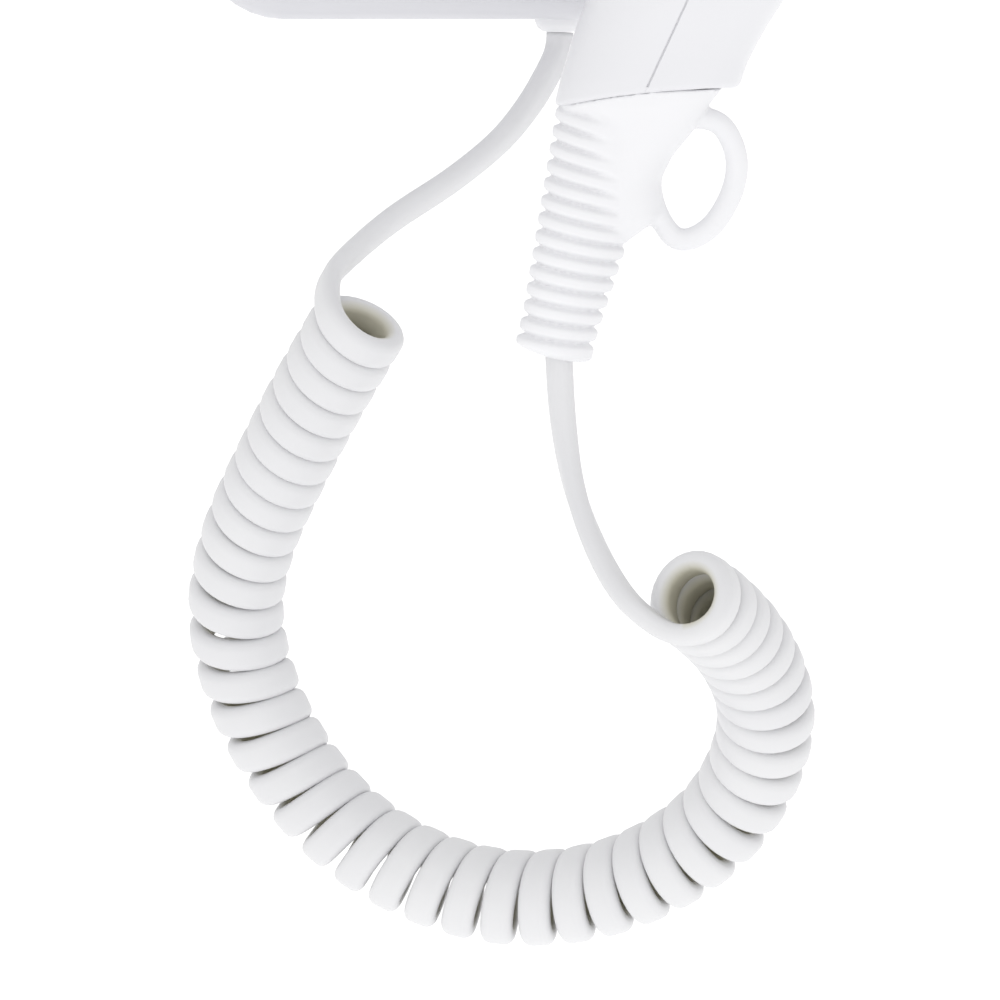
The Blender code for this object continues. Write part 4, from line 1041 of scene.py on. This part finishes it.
def drill(shell, profile, steps, place):
    """Cuts a turned hole. The profile's radii and heights leave out its two ends near the axis."""
    closed = [(0.0001, profile[0][1])] + profile + [(0.0001, profile[-1][1])]
    combine(shell, turned_solid("drill", closed, steps, place), "DIFFERENCE")


def rear_screw_place(height):
    """A frame on the handle's rear face whose local Z points out."""
    x, half_x, _ = handle_section(height)
    x1, a1, _ = handle_section(height + 0.004)
    x0, a0, _ = handle_section(height - 0.004)
    slope = Vector(((x1 + a1) - (x0 + a0), 0, 0.008)).normalized()
    return along(Vector((x + half_x, AXIS_Y, height)), Vector((slope.z, 0, -slope.x)))


def build_shells():
    """One hollow body of barrel and handle, with its openings cut, split in two on the seam."""
    shell = barrel_solid("shell", 0.0, 0.0, 120)
    combine(shell, handle_solid("handle", 0.0, True, 80), "UNION")
    skin = shell.data.copy()
    hollow = barrel_solid("hollow", WALL, 0.01, 96)
    combine(hollow, handle_solid("inner_handle", WALL, False, 48), "UNION")
    combine(shell, hollow, "DIFFERENCE")
    seam = seam_frame()
    combine(shell, seam_step(skin, seam), "DIFFERENCE")
    collar_hole = [(COLLAR_R + 0.0005, -0.02), (COLLAR_R + 0.0005, 0.02)]
    drill(shell, collar_hole, 48, Matrix.Translation((COLLAR_X, AXIS_Y, HANDLE_BOTTOM)))
    slot_w = SLIDER_HALF_W + RUN
    slot_h = SLIDER_HALF_H + RUN
    slot = block("slot", (-0.006, -slot_w, -slot_h), (0.006, slot_w, slot_h), control_frame(SLIDER_Z))
    combine(shell, slot, "DIFFERENCE")
    sunk_r = BUTTON_HOLE_R + 0.0006
    button_hole = [(BUTTON_HOLE_R, -0.006), (BUTTON_HOLE_R, -0.0004), (sunk_r, 0.0006), (sunk_r, 0.006)]
    drill(shell, button_hole, 40, control_frame(BUTTON_Z) @ Matrix.Rotation(math.radians(90), 4, "Y"))
    screw_hole = [(SCREW_HOLE_R, -0.006), (SCREW_HOLE_R, -0.0008), (SCREW_SEAT_R, -0.0008), (0.0034, 0.004)]
    for height in SCREW_HEIGHTS:
        drill(shell, screw_hole, 32, rear_screw_place(height))
    halves = []
    for name, low, high in (("shell_front", -0.4, -HALVES_APART), ("shell_rear", HALVES_APART, 0.4)):
        half = bpy.data.objects.new(name, shell.data.copy())
        SCENE.collection.objects.link(half)
        combine(half, block("half", (low, -0.1, -0.2), (high, 0.1, 0.4), seam), "INTERSECT")
        weld = half.modifiers.new("weld", "WELD")
        weld.merge_threshold = 0.00002
        applied(half)
        half.data.shade_smooth()
        half.data.set_sharp_from_angle(angle=math.radians(32))
        halves.append(half)
    bpy.data.objects.remove(shell, do_unlink=True)
    return halves


shell_front, shell_rear = build_shells()
for piece, node in ((shell_front, "front_shell"), (shell_rear, "rear_shell")):
    finish_piece(piece, WHITE)
    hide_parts(node)
    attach(piece, "handset")

# ======== floor and light ===============================================================================
floor_mat, floor_tree, floor_bsdf = shader("floor", (0.93, 0.93, 0.93), 0.8)
floor_noise = noise(floor_tree, 3.0, 2.0)
floor_shift = spread(floor_tree, floor_noise.outputs["Fac"], 0.0, 1.0)
mottle(floor_tree, floor_bsdf, floor_shift.outputs["Result"], (0.92, 0.92, 0.92), (0.94, 0.94, 0.94))
floor_bsdf.inputs["Emission Color"].default_value = (1, 1, 1, 1)
floor_bsdf.inputs["Emission Strength"].default_value = 0.36
FLOOR_Z = -1.1
floor = mesh_object(
    "floor",
    [(-30, -8, FLOOR_Z), (30, -8, FLOOR_Z), (30, 40, FLOOR_Z), (-30, 40, FLOOR_Z)],
    [(0, 1, 2, 3)],
    smooth=False,
)
floor.data.materials.append(floor_mat)

world = bpy.data.worlds.new("studio")
SCENE.world = world
world.use_nodes = True
background = world.node_tree.nodes["Background"]
background.inputs["Color"].default_value = (1.0, 1.0, 1.0, 1)
background.inputs["Strength"].default_value = 0.90


def soft_light(name, place, aim, size, power):
    data = bpy.data.lights.new(name, "AREA")
    data.shape = "RECTANGLE"
    data.size = size[0]
    data.size_y = size[1]
    data.energy = power
    light = bpy.data.objects.new(name, data)
    SCENE.collection.objects.link(light)
    light.location = place
    light.rotation_euler = (Vector(aim) - Vector(place)).to_track_quat("-Z", "Y").to_euler()


soft_light("key", (-0.5, -1.9, 1.0), (0, -0.05, -0.12), (1.2, 1.0), 3.0)
soft_light("front", (-0.1, -2.2, 0.0), (0, -0.05, -0.15), (1.4, 1.4), 1.8)
SCENE.view_settings.view_transform = "Standard"
